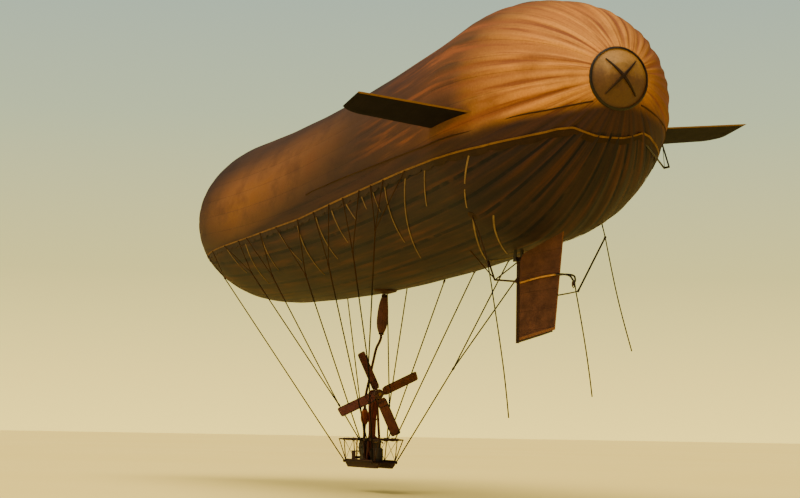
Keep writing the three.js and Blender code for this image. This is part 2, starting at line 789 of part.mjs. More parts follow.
// A strand leaves its bar and parts into the ropes of its list at a share of the way up.
// A rope is the x that it points to on the belt, and the x of its bridle's legs there.
const FANS = [
  {
    name: "ropes_1",
    barX: 1385,
    seat: ON_FLOOR,
    strands: [{ parting: 0, ropes: [[8450, [8900, 7700]]] }],
  },
  {
    name: "ropes_2",
    barX: 160,
    seat: ON_RAIL,
    strands: [
      {
        parting: 0.16,
        ropes: [
          [5350, [6150, 4700]],
          [3400, [3900, 2650]],
        ],
      },
      { parting: 0, ropes: [[250, [1250, -450]]] },
    ],
  },
  {
    name: "ropes_3",
    barX: -330,
    seat: ON_RAIL,
    strands: [{ parting: 0, ropes: [[-1900, [-1650, -2750]]] }],
  },
  {
    name: "ropes_4",
    barX: -585,
    seat: ON_FLOOR,
    strands: [
      {
        parting: 0.38,
        ropes: [
          [-3850, [-3675, -4700]],
          [-5800, [-5400, -6100, -7250]],
        ],
      },
    ],
  },
];

function bridle(from, aim, legs) {
  const top = onBelt(aim, ROPE_STAND_OFF);
  const fork = from.clone().sub(top).setLength(BRIDLE_LENGTH).add(top);
  const pieces = [rod(from, fork, ROPE_RADIUS, 6), knob(fork, FORK_RADIUS)];
  for (const x of legs) {
    const knot = onBelt(x, ROPE_STAND_OFF);
    pieces.push(rod(fork, knot, BRIDLE_RADIUS, 5), knob(knot, KNOT_RADIUS));
  }
  return pieces;
}

function ropeFan({ barX, seat, strands }) {
  const middle = seat.clone().setX(barX);
  const reach = ((strands.length - 1) / 2) * TOGGLE_PITCH;
  const end = v(reach + 30, 0, 0);
  const pieces = [rod(middle.clone().sub(end), middle.clone().add(end), TOGGLE_RADIUS, TOGGLE_SIDES)];
  for (const [i, { parting, ropes }] of strands.entries()) {
    const foot = middle.clone().add(v(reach - i * TOGGLE_PITCH, 0, 0));
    const tops = ropes.map(([aim]) => onBelt(aim, ROPE_STAND_OFF));
    const mean = tops.reduce((sum, top) => sum.add(top), v(0, 0, 0)).divideScalar(tops.length);
    const joint = foot.clone().lerp(mean, parting);
    if (parting > 0) pieces.push(rod(foot, joint, ROPE_RADIUS, 6), knob(joint, FORK_RADIUS));
    for (const [aim, legs] of ropes) pieces.push(...bridle(joint, aim, legs));
  }
  return biggest(join(pieces).subtract(beltCut).subtract(hullCut));
}
for (const fan of FANS) {
  const solid = ropeFan(fan);
  add(`${fan.name}_port`, solid, COLOURS.rope);
  add(`${fan.name}_starboard`, mirrored(solid), COLOURS.rope);
}

// Handling ropes

const PATCH_RADIUS = 100;
const PATCH_THICKNESS = 14;

// A round patch on the hull where the side rope hangs, with a short eye.
function ropePatch(route) {
  const x = -8665;
  const middle = v(x, 1260, -1440);
  const outwards = v(0, middle.y, middle.z - axisHeight(x)).normalize();
  const inner = middle.clone().addScaledVector(outwards, -250);
  const disc = rod(inner, middle.clone().addScaledVector(outwards, 150), PATCH_RADIUS, 24);
  const plate = disc.intersect(hullGrown(PATCH_THICKNESS));
  const eye = ropeEye(middle, route, 12);
  return biggest(join([plate, eye]).subtract(hullCut));
}
add("rope_patch_port", ropePatch(SIDE_ROPE_ROUTE), COLOURS.belt);
const shortRopeOnPort = SHORT_ROPE_ROUTE.map(([x, y, z]) => [x, -y, z]);
add("rope_patch_starboard", mirrored(ropePatch(shortRopeOnPort)), COLOURS.belt);

function handlingRope(route, steps) {
  return tubeAlong(route.map((p) => v(...p)), HANDLING_ROPE_RADIUS, steps);
}
add("handling_rope_port", handlingRope(SIDE_ROPE_ROUTE, 46), COLOURS.rope);
add("handling_rope_starboard", handlingRope(SHORT_ROPE_ROUTE, 32), COLOURS.rope);
add("handling_rope_middle", handlingRope(MIDDLE_ROPE_ROUTE, 30), COLOURS.rope);

export default group;
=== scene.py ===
# %% [markdown]
# # An early pressure airship, dressed around its frame
# The part is a cloth hull about 24 m long, a 1:2 model of the real one. A light car with an engine and a
# propeller hangs below it on ropes. The CAD frame gives every size and place. This script adds what the
# frame leaves plain: the gores and folds of the hull, the scalloped belt, sewn and varnished cloth,
# rope, stained wood and iron. Each step first says what the real thing is, and then makes it.

# %% Load the frame
import json
import math

import bpy
import numpy as np
from mathutils import Matrix, Vector


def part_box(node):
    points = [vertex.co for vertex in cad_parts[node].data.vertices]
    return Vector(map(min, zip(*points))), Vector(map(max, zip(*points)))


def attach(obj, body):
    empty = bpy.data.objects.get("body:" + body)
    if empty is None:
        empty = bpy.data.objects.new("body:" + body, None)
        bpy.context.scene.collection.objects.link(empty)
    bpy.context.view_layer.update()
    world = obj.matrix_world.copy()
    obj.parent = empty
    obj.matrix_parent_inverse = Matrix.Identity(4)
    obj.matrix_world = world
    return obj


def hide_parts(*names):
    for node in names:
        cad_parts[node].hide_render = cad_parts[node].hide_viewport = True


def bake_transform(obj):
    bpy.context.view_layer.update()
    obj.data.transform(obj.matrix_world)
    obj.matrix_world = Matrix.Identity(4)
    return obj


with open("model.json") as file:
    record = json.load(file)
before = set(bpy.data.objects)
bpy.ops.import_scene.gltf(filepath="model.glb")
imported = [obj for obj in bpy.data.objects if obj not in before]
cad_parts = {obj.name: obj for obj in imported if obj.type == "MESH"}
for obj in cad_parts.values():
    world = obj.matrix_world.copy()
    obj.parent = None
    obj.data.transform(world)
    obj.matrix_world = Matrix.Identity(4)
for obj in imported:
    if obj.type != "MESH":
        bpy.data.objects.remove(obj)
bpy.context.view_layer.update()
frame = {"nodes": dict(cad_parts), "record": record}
nodes = frame["nodes"]

# %% [markdown]
# ## The camera
# The airship is drawn from its port quarter, from about the height of the car, so the car is seen from
# behind and the hull's dark belly shows. The camera's place and angles were found by fitting the hull's
# outline, the propeller and the car. A long lens keeps the near stern from swelling.

# %% Place the camera
IMAGE_WIDTH = 800
SENSOR = 36.0
FOCAL_PIXELS = 1794.44
AZIMUTH, ELEVATION, ROLL = 0.3429, 0.1024, 0.0176
CAMERA_PLACE = (-37.785, 13.0035, -5.277)
FAR_CLIP = 2000

AHEAD, ACROSS, UP = Vector((1, 0, 0)), Vector((0, 1, 0)), Vector((0, 0, 1))
forward = Vector((
    math.cos(ELEVATION) * math.cos(AZIMUTH),
    -math.cos(ELEVATION) * math.sin(AZIMUTH),
    math.sin(ELEVATION),
))
level_right = forward.cross(UP).normalized()
level_up = level_right.cross(forward)
right = math.cos(ROLL) * level_right + math.sin(ROLL) * level_up
up = math.cos(ROLL) * level_up - math.sin(ROLL) * level_right

camera_data = bpy.data.cameras.new("photo_camera")
camera_data.sensor_width = SENSOR
camera_data.lens = FOCAL_PIXELS * SENSOR / IMAGE_WIDTH
camera_data.clip_end = FAR_CLIP
camera = bpy.data.objects.new("photo_camera", camera_data)
bpy.context.scene.collection.objects.link(camera)
turn = Matrix((right, up, -forward)).transposed().to_4x4()
camera.matrix_world = Matrix.Translation(CAMERA_PLACE) @ turn
bpy.context.scene.camera = camera
print("lens", round(camera_data.lens, 2), "mm")

# %% [markdown]
# ## Small helpers
# Everything is deselected before a new primitive is added, because an operator acts on all that is
# selected. A finished piece keeps its place in its mesh and its object at the origin, as the frame's own
# nodes do. Colours are written as sRGB hex values, which one function turns into the linear light that
# shaders work in.

# %% Select, settle and edit
MERGE_WITHIN = 0.0002


def deselect():
    if bpy.context.mode != "OBJECT":
        bpy.ops.object.mode_set(mode="OBJECT")
    bpy.ops.object.select_all(action="DESELECT")


def choose(piece):
    """Selects one piece alone and makes it active."""
    deselect()
    bpy.context.view_layer.objects.active = piece
    piece.select_set(True)


def settled(name):
    """Names the active object, puts its place into its mesh and returns it."""
    if bpy.context.mode != "OBJECT":
        bpy.ops.object.mode_set(mode="OBJECT")
    piece = bpy.context.active_object
    piece.name = piece.data.name = name
    piece.select_set(True)
    bpy.ops.object.transform_apply(location=True, rotation=True, scale=True)
    return piece


def edited(piece, operator, **settings):
    """Runs one operator on the whole of a piece in edit mode."""
    choose(piece)
    bpy.ops.object.mode_set(mode="EDIT")
    bpy.ops.mesh.select_all(action="SELECT")
    operator(**settings)
    bpy.ops.object.mode_set(mode="OBJECT")


def outward(piece):
    """Merges doubles and turns every face outwards."""
    edited(piece, bpy.ops.mesh.remove_doubles, threshold=MERGE_WITHIN)
    edited(piece, bpy.ops.mesh.normals_make_consistent, inside=False)


def smooth(piece, degrees):
    choose(piece)
    bpy.ops.object.shade_smooth_by_angle(angle=math.radians(degrees))


def modified(piece, kind, **settings):
    """Adds one modifier with its settings and applies it."""
    made = piece.modifiers.new(kind.lower(), kind)
    for setting, value in settings.items():
        setattr(made, setting, value)
    bpy.context.view_layer.objects.active = piece
    bpy.ops.object.modifier_apply(modifier=made.name)


def tell(*pieces):
    """Prints each piece's name and its number of faces."""
    print(", ".join(f"{piece.name} {len(piece.data.polygons)} faces" for piece in pieces))


deselect()

# %% Points, copies and fitting
def points_of(piece):
    flat = np.empty(len(piece.data.vertices) * 3)
    piece.data.vertices.foreach_get("co", flat)
    return flat.reshape(-1, 3)


def move_points(piece, points):
    piece.data.vertices.foreach_set("co", np.asarray(points, float).ravel())
    piece.data.update()


def copied(piece, name):
    twin = piece.copy()
    twin.data = piece.data.copy()
    twin.name = twin.data.name = name
    bpy.context.scene.collection.objects.link(twin)
    return twin


def mirrored(piece, name):
    """A copy on the other side of the middle plane, its faces still outwards."""
    twin = copied(piece, name)
    move_points(twin, points_of(twin) * (1, -1, 1))
    edited(twin, bpy.ops.mesh.flip_normals)
    return twin


def joined(name, pieces):
    deselect()
    for piece in pieces:
        piece.select_set(True)
    bpy.context.view_layer.objects.active = pieces[0]
    bpy.ops.object.join()
    return settled(name)


def fit(piece, body, finish):
    """Gives a piece its finish and the body that it rides on."""
    piece.data.materials.clear()
    piece.data.materials.append(finish)
    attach(piece, body)


print("the envelope has", len(points_of(nodes["envelope"])), "points")

# %% Colours and nodes
def srgb(code):
    """The linear colour of an sRGB hex value."""
    channels = [int(code[i:i + 2], 16) / 255 for i in (1, 3, 5)]
    linear = [c / 12.92 if c <= 0.04045 else ((c + 0.055) / 1.055) ** 2.4 for c in channels]
    return (*linear, 1.0)


def new_finish(name, **constants):
    """A node material with constants on its shader's own sockets. Returns it and its tree."""
    finish = bpy.data.materials.new(name)
    finish.use_nodes = True
    shader = finish.node_tree.nodes["Principled BSDF"]
    for socket, value in constants.items():
        shader.inputs[socket.replace("_", " ")].default_value = value
    return finish, finish.node_tree


def add_node(tree, kind, links=None, **settings):
    """Adds a node. links maps an input, by name or number, to a value or to another node's output."""
    made = tree.nodes.new("ShaderNode" + kind)
    for name, value in settings.items():
        setattr(made, name, value)
    for socket, value in (links or {}).items():
        if isinstance(value, bpy.types.NodeSocket):
            tree.links.new(value, made.inputs[socket])
        else:
            made.inputs[socket].default_value = value
    return made


def told(*finishes):
    """Prints each finish's name and its number of nodes."""
    print(", ".join(f"{finish.name} {len(finish.node_tree.nodes)} nodes" for finish in finishes))


print("middle grey in linear light:", round(srgb("#808080")[0], 3))

# %% Patterns, zones and relief
def ramp(tree, factor, stops):
    """A colour ramp with stops of (place, hex colour)."""
    made = add_node(tree, "ValToRGB", {0: factor})
    elements = made.color_ramp.elements
    while len(elements) < len(stops):
        elements.new(0.5)
    for element, (place, code) in zip(elements, stops):
        element.position = place
        element.color = srgb(code)
    return made.outputs[0]


def blend_colours(tree, factor, first, second, mode="MIX"):
    mix = add_node(tree, "Mix", {0: factor, 6: first, 7: second}, data_type="RGBA", blend_type=mode)
    return mix.outputs[2]


def maths(tree, operation, first, second=0.0, third=0.0, clamp=False):
    made = add_node(tree, "Math", {0: first, 1: second, 2: third}, operation=operation, use_clamp=clamp)
    return made.outputs[0]


def ramp_value(tree, value, low, high):
    """0 at low, 1 at high, and smooth between."""
    made = add_node(tree, "MapRange", {0: value, 1: low, 2: high}, interpolation_type="SMOOTHSTEP")
    return made.outputs[0]


def zone(tree, cloth, code, strength, *edges):
    """Colours the cloth in a zone. Each edge is a value, where it leaves the zone and where it is inside."""
    share = strength
    for value, out, inside in edges:
        share = maths(tree, "MULTIPLY", ramp_value(tree, value, out, inside), share)
    return blend_colours(tree, share, cloth, srgb(code))


def darkened(tree, share, colour, pattern, low, code, high):
    """Multiplies a colour by a darker one where a pattern is low."""
    shade = ramp(tree, pattern, [(low, code), (high, "#ffffff")])
    return blend_colours(tree, share, colour, shade, "MULTIPLY")


def noise(tree, place, scale, detail=3.0, roughness=0.55):
    links = {"Vector": place, "Scale": scale, "Detail": detail, "Roughness": roughness}
    return add_node(tree, "TexNoise", links).outputs[0]


def object_place(tree, scale=(1, 1, 1)):
    """Object coordinates in metres, stretched by scale."""
    coordinates = add_node(tree, "TexCoord").outputs["Object"]
    return add_node(tree, "Mapping", {0: coordinates, 3: scale}).outputs[0]


def parts_of(tree, place):
    """A place's three coordinates."""
    return add_node(tree, "SeparateXYZ", {0: place}).outputs


def bands(tree, value, pitch):
    """0 where two bands meet and 0.5 at the middle of each."""
    return maths(tree, "PINGPONG", maths(tree, "MULTIPLY", value, 1 / pitch), 0.5)


def coloured(finish, colour, *relief):
    """Gives a finish its colour and, where given, a relief: its height, strength and depth in metres."""
    tree = finish.node_tree
    shader = tree.nodes["Principled BSDF"]
    tree.links.new(colour, shader.inputs["Base Color"])
    if relief:
        bump = add_node(tree, "Bump", dict(zip(("Height", "Strength", "Distance"), relief)))
        tree.links.new(bump.outputs[0], shader.inputs["Normal"])
    return finish


print("materials so far:", len(bpy.data.materials))

# %% [markdown]
# ## Where the hull lies
# The hull is a body of revolution whose axis sags in the middle. These are the frame's own formulas in
# metres, so that everything sewn to the hull lies on its surface. The belt is a line round the hull at a
# height that varies with the station.

# %% Formulas of the hull
HALF_LENGTH = 12.0
HULL_RADIUS = 2.142
NOSE_LENGTH, NOSE_POWER = 6.18, 2.58
STERN_LENGTH, STERN_POWER = 3.42, 1.715
SAG = 0.558
BELT_STATIONS = [-12.5, -11.54, -11.25, -10.74, -10.0, -8.9, -7.0, -3.75, -0.5, 3.7, 6.5, 12.5]
BELT_HEIGHTS = [-0.34, -0.32, -0.30, -0.37, -0.44, -0.49, -0.51, -0.59, -0.68, -0.665, -0.64, -0.60]


def axis_height(x):
    return SAG * (np.asarray(x) / HALF_LENGTH) ** 2


def hull_radius(x):
    x = np.clip(np.asarray(x, float), -HALF_LENGTH, HALF_LENGTH)
    nose = np.clip((x - (HALF_LENGTH - NOSE_LENGTH)) / NOSE_LENGTH, 0, 1)
    stern = np.clip((STERN_LENGTH - HALF_LENGTH - x) / STERN_LENGTH, 0, 1)
    towards_nose = (1 - nose ** NOSE_POWER) ** (1 / NOSE_POWER)
    towards_stern = (1 - stern ** STERN_POWER) ** (1 / STERN_POWER)
    return HULL_RADIUS * towards_nose * towards_stern


def belt_height(x):
    return np.interp(x, BELT_STATIONS, BELT_HEIGHTS)


def on_hull(x, z, offset=0.0):
    """The hull's point to port at a station and height, moved out by an offset."""
    below = z - axis_height(x)
    radius = hull_radius(x)
    across = math.sqrt(max(radius ** 2 - below ** 2, 0.0))
    outwards = Vector((0, across, below)).normalized()
    return Vector((x, across, z)) + offset * outwards


print("belt amidships:", tuple(round(c, 3) for c in on_hull(0.0, float(belt_height(0.0)))))

# %% [markdown]
# ## Trail ropes
# Three handling ropes hang from the stern, two from patches on the hull and one from the loop behind the
# rudder. In flight the wind of the airship's own speed lays them out aft. They are free ropes, so each is
# a tube along its own route, with the length that the picture shows.

# %% Smooth lines
def through(points, steps):
    """A smooth line through the points, with so many steps between each pair."""
    p = np.array([tuple(point) for point in points], float)
    p = np.vstack([2 * p[0] - p[1], p, 2 * p[-1] - p[-2]])
    line = []
    for a, b, c, d in zip(p, p[1:], p[2:], p[3:]):
        for t in np.linspace(0, 1, steps, endpoint=False):
            line.append(0.5 * (2 * b + (c - a) * t + (2 * a - 5 * b + 4 * c - d) * t ** 2
                               + (3 * b - a - 3 * c + d) * t ** 3))
    return [Vector(q) for q in line + [p[-2]]]


def length_of(line):
    return sum((b - a).length for a, b in zip(line, line[1:]))


corner = through([(0, 0, 0), (1, 0, 0), (1, 1, 0)], 4)
print("a line round a corner:", len(corner), "points,", round(length_of(corner), 3), "m")

# %% Skins, tubes and turned forms
RING_STEP = 0.1


def lofted(name, rings, degrees=50):
    """A closed skin through rings of points: a filled circle, extruded for each further ring, then moved."""
    deselect()
    bpy.ops.mesh.primitive_circle_add(vertices=len(rings[0]), radius=1, fill_type="NGON")
    bpy.ops.object.mode_set(mode="EDIT")
    for _ in rings[1:]:
        bpy.ops.mesh.extrude_region_move(TRANSFORM_OT_translate={"value": (0, 0, RING_STEP)})
    piece = settled(name)
    made = points_of(piece)
    level = np.round(made[:, 2] / RING_STEP).astype(int)
    turns = np.arctan2(made[:, 1], made[:, 0])
    for i, ring in enumerate(rings):
        here = np.where(level == i)[0]
        made[here[np.argsort(turns[here])]] = np.array([tuple(p) for p in ring])
    move_points(piece, made)
    outward(piece)
    smooth(piece, degrees)
    return piece


def square_to(ahead):
    """Two directions that are square to a line and to each other."""
    across = ahead.orthogonal().normalized()
    return across, ahead.cross(across)


def round_place(middle, radius, angle, across, third):
    return middle + radius * (math.cos(angle) * across + math.sin(angle) * third)


def turns_of(count):
    """So many angles, evenly round one turn."""
    return np.linspace(0, 2 * math.pi, count, endpoint=False)


def tube(name, line, radius, sides=8, degrees=50):
    """A closed round tube along a line. Radius is one number, or one for each point."""
    radii = radius if hasattr(radius, "__len__") else [radius] * len(line)
    along = [(b - a).normalized() for a, b in zip(line, line[1:])]
    across = along[0].orthogonal().normalized()
    rings = []
    for i, middle in enumerate(line):
        ahead = (along[min(i, len(along) - 1)] + along[max(i - 1, 0)]).normalized()
        across = (across - across.dot(ahead) * ahead).normalized()
        third = ahead.cross(across)
        rings.append([round_place(middle, radii[i], a, across, third) for a in turns_of(sides)])
    return lofted(name, rings, degrees)


def turned(name, place, axis, steps, sides=16, degrees=30):
    """A form turned on a lathe. Each step is a distance along the axis and a radius."""
    line = [place + reach * axis for reach, _ in steps]
    return tube(name, line, [radius for _, radius in steps], sides, degrees)


print("square to ahead:", [tuple(round(c, 1) for c in way) for way in square_to(AHEAD)])

# %% Make the trail ropes
ROPE_DIAMETER = 0.022
ROUTE_STEPS = 4
SIDE_ROUTE = [
    (-8.712, 1.258, -1.527), (-8.860, 1.254, -1.680), (-9.080, 1.251, -1.940), (-9.300, 1.250, -2.235),
    (-9.490, 1.250, -2.610), (-9.650, 1.250, -3.010), (-9.820, 1.250, -3.420), (-9.975, 1.250, -3.810),
    (-10.120, 1.250, -4.200), (-10.245, 1.250, -4.600), (-10.350, 1.250, -4.990),
]
SHORT_ROUTE = [
    (-8.712, -1.258, -1.527), (-8.802, -1.256, -1.690), (-8.940, -1.252, -1.990), (-9.120, -1.250, -2.390),
    (-9.300, -1.250, -2.770), (-9.480, -1.250, -3.110), (-9.670, -1.250, -3.440), (-9.880, -1.250, -3.790),
]
MIDDLE_ROUTE = [
    (-10.228, 0, -2.735), (-10.270, 0, -2.860), (-10.350, 0, -3.050), (-10.450, 0, -3.290),
    (-10.550, 0, -3.540), (-10.650, 0, -3.800), (-10.740, 0, -4.060), (-10.830, 0, -4.340),
    (-10.910, 0, -4.620),
]
trail_ropes = []
for side, route, body in (
    ("port", SIDE_ROUTE, "airframe"),
    ("starboard", SHORT_ROUTE, "airframe"),
    ("middle", MIDDLE_ROUTE, "rudder"),
):
    line = through(route, ROUTE_STEPS)
    rope = tube(f"trail_rope_{side}", line, ROPE_DIAMETER / 2)
    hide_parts(f"handling_rope_{side}")
    trail_ropes.append((rope, body))
    print("trail rope", side, round(length_of(line), 3), "m")

# %% [markdown]
# ## The hull's cloth
# The real hull is varnished balloon cloth, cut in long tapering gores and sewn together. Gas pressure
# swells each gore a little between its seams, and near the stern the cloth gathers into folds that run
# to the valve. A sphere turned along the ship gives rings and gores at once. Its rings are moved to the
# hull's stations, and each point then goes in or out by the swell, the folds and a slow unevenness.

# %% Trace the hull's outline
OUTLINE_POINTS = 2400


def running_length(*columns):
    """How far each point lies along a line, from its coordinates in columns."""
    steps = np.sqrt(sum(np.diff(column) ** 2 for column in columns))
    return np.concatenate([[0], np.cumsum(steps)])


def hull_line():
    """Stations, radii and running lengths of the hull's outline from the stern's end to the nose's."""
    quarter = np.linspace(math.pi / 2, 0, OUTLINE_POINTS)
    stern_x = STERN_LENGTH - HALF_LENGTH - STERN_LENGTH * np.sin(quarter) ** (2 / STERN_POWER)
    nose_x = HALF_LENGTH - NOSE_LENGTH + NOSE_LENGTH * np.sin(quarter[::-1]) ** (2 / NOSE_POWER)
    x = np.concatenate([stern_x, nose_x])
    stern_r, nose_r = np.cos(quarter) ** (2 / STERN_POWER), np.cos(quarter[::-1]) ** (2 / NOSE_POWER)
    r = HULL_RADIUS * np.concatenate([stern_r, nose_r])
    return x, r, running_length(x, r)


line_x, line_r, line_s = hull_line()
hull_length = line_s[-1]
print("from end to end over the cloth:", round(float(hull_length), 2), "m")

# %% Shape the hull
GORES = 32
HULL_RINGS = 236
VALVE_EDGE, VALVE_SINK = 0.49, 0.022
GORE_SWELL, UNEVENNESS, FOLD_DEPTH = 0.008, 0.006, 0.0062
FOLDS_FROM, FOLDS_REACH = -7.0, 3.6
FOLD_WAVES = ((19, 0.4), (26, 2.1), (35, 4.0), (47, 1.2))  # how many round the hull, and their phase
deselect()
bpy.ops.mesh.primitive_uv_sphere_add(
    segments=10 * GORES, ring_count=HULL_RINGS, radius=1, rotation=(0, math.pi / 2, 0))
hull = settled("hull_cloth")
ball = points_of(hull)
running = np.arccos(np.clip(-ball[:, 0], -1, 1)) / math.pi * hull_length
station = np.interp(running, line_s, line_x)
radius = np.interp(running, line_s, line_r)
angle = np.arctan2(ball[:, 2], ball[:, 1])
slope_x = np.interp(running, line_s, np.gradient(line_r, line_s))
slope_r = np.interp(running, line_s, np.gradient(line_x, line_s))

turn_share = angle / (2 * math.pi)
between_seams = np.abs(np.sin(math.pi * GORES * turn_share)) ** 0.45
swell = -GORE_SWELL * (1 - between_seams) * np.minimum(radius / 0.8, 1)
towards_stern = np.clip((FOLDS_FROM - station) / FOLDS_REACH, 0, 1) ** 1.4
folds = sum(
    np.cos(count * angle + phase + 0.5 * np.sin(0.9 * station + count))
    for count, phase in FOLD_WAVES
)
folds = FOLD_DEPTH * folds * towards_stern * np.clip((radius - 0.45) / 0.5, 0, 1)
uneven = UNEVENNESS * np.sin(1.7 * station + 2 * np.cos(angle)) * np.sin(3 * angle + 0.6 * station)
uneven *= np.minimum(radius / HULL_RADIUS, 1)
under_valve = -VALVE_SINK * (radius < VALVE_EDGE)
rise = swell + folds + uneven + under_valve
station = station - rise * slope_x
radius = radius + rise * slope_r
height = radius * np.sin(angle) + axis_height(station)
move_points(hull, np.stack([station, radius * np.cos(angle), height], axis=1))
print("hull:", len(ball), "points, lowest", round(height.min(), 3), "m")

# %% Lay out the gores
# The sphere's own UV map becomes gores across and metres along, with whole numbers on the seams.
loop_points = np.empty(len(hull.data.loops), int)
hull.data.loops.foreach_get("vertex_index", loop_points)
uv_layer = hull.data.uv_layers.active.data
uv = np.empty(2 * len(loop_points))
uv_layer.foreach_get("uv", uv)
uv = uv.reshape(-1, 2)
inner = np.abs(ball[loop_points, 0]) < 0.5
wave = np.exp(2j * math.pi * (uv[inner, 0] - turn_share[loop_points][inner]))
backwards = np.exp(2j * math.pi * (uv[inner, 0] + turn_share[loop_points][inner]))
if abs(backwards.mean()) > abs(wave.mean()):
    uv[:, 0] = np.angle(backwards.mean()) / (2 * math.pi) - uv[:, 0]
else:
    uv[:, 0] -= np.angle(wave.mean()) / (2 * math.pi)
uv[:, 0] *= GORES
ends = np.interp(uv[:, 1], [0, 1], [0, hull_length])
if np.corrcoef(ends, running[loop_points])[0, 1] < 0:
    ends = hull_length - ends
uv[:, 1] = ends
uv_layer.foreach_set("uv", uv.ravel())
print("gores:", round(float(uv[:, 0].max() - uv[:, 0].min()), 1))

# %% Mark the hull's two borders
LINE_STATIONS = [-12.0, -11.8, -11.6, -11.3, -10.8, -9.9, -8.6, -6.1, -3.7, -1.7, 4.0, 12.0]
LINE_HEIGHTS = [0.20, 0.15, 0.09, 0.03, -0.02, -0.16, -0.22, -0.21, -0.20, -0.22, -0.56, -0.60]


def upper_line_height(x):
    return np.interp(x, LINE_STATIONS, LINE_HEIGHTS)


def mark(piece, name, values):
    made = piece.data.attributes.new(name, "FLOAT", "POINT")
    made.data.foreach_set("value", np.asarray(values, float))


mark(hull, "over_belt", height - belt_height(station))
mark(hull, "over_line", height - upper_line_height(station))
mark(hull, "fold", folds / FOLD_DEPTH)
smooth(hull, 60)
print("share of the hull's points above the belt:", round(float(np.mean(height > belt_height(station))), 2))

# %% [markdown]
# ## The hull's finish
# It is balloon cloth, rubbered and varnished: dull, uneven, golden where light and varnish have aged it
# and dark brown below the belt, where it is doubled. The seams are drawn from the UV map, so they
# run along the gores. The upper cloth changes along the ship, golden at the stern and browner amidships;
# part of that is painted light, brighter where the key falls on the stern. Zones of painted shade darken
# the flank under the port fin, where its shadow falls, the crown, the cloth beside the upper border, the
# stern's starboard side and the valleys of the stern's folds, and a flat bluish tint is a painted sheen.

# %% Balloon cloth
# A flat bluish tint, a linear colour added to the dyed one: a painted sheen in place of the cloth's dull
# reflection.
PAINTED_BLUISH_SHEEN = (0.0, 0.003, 0.0095, 1.0)


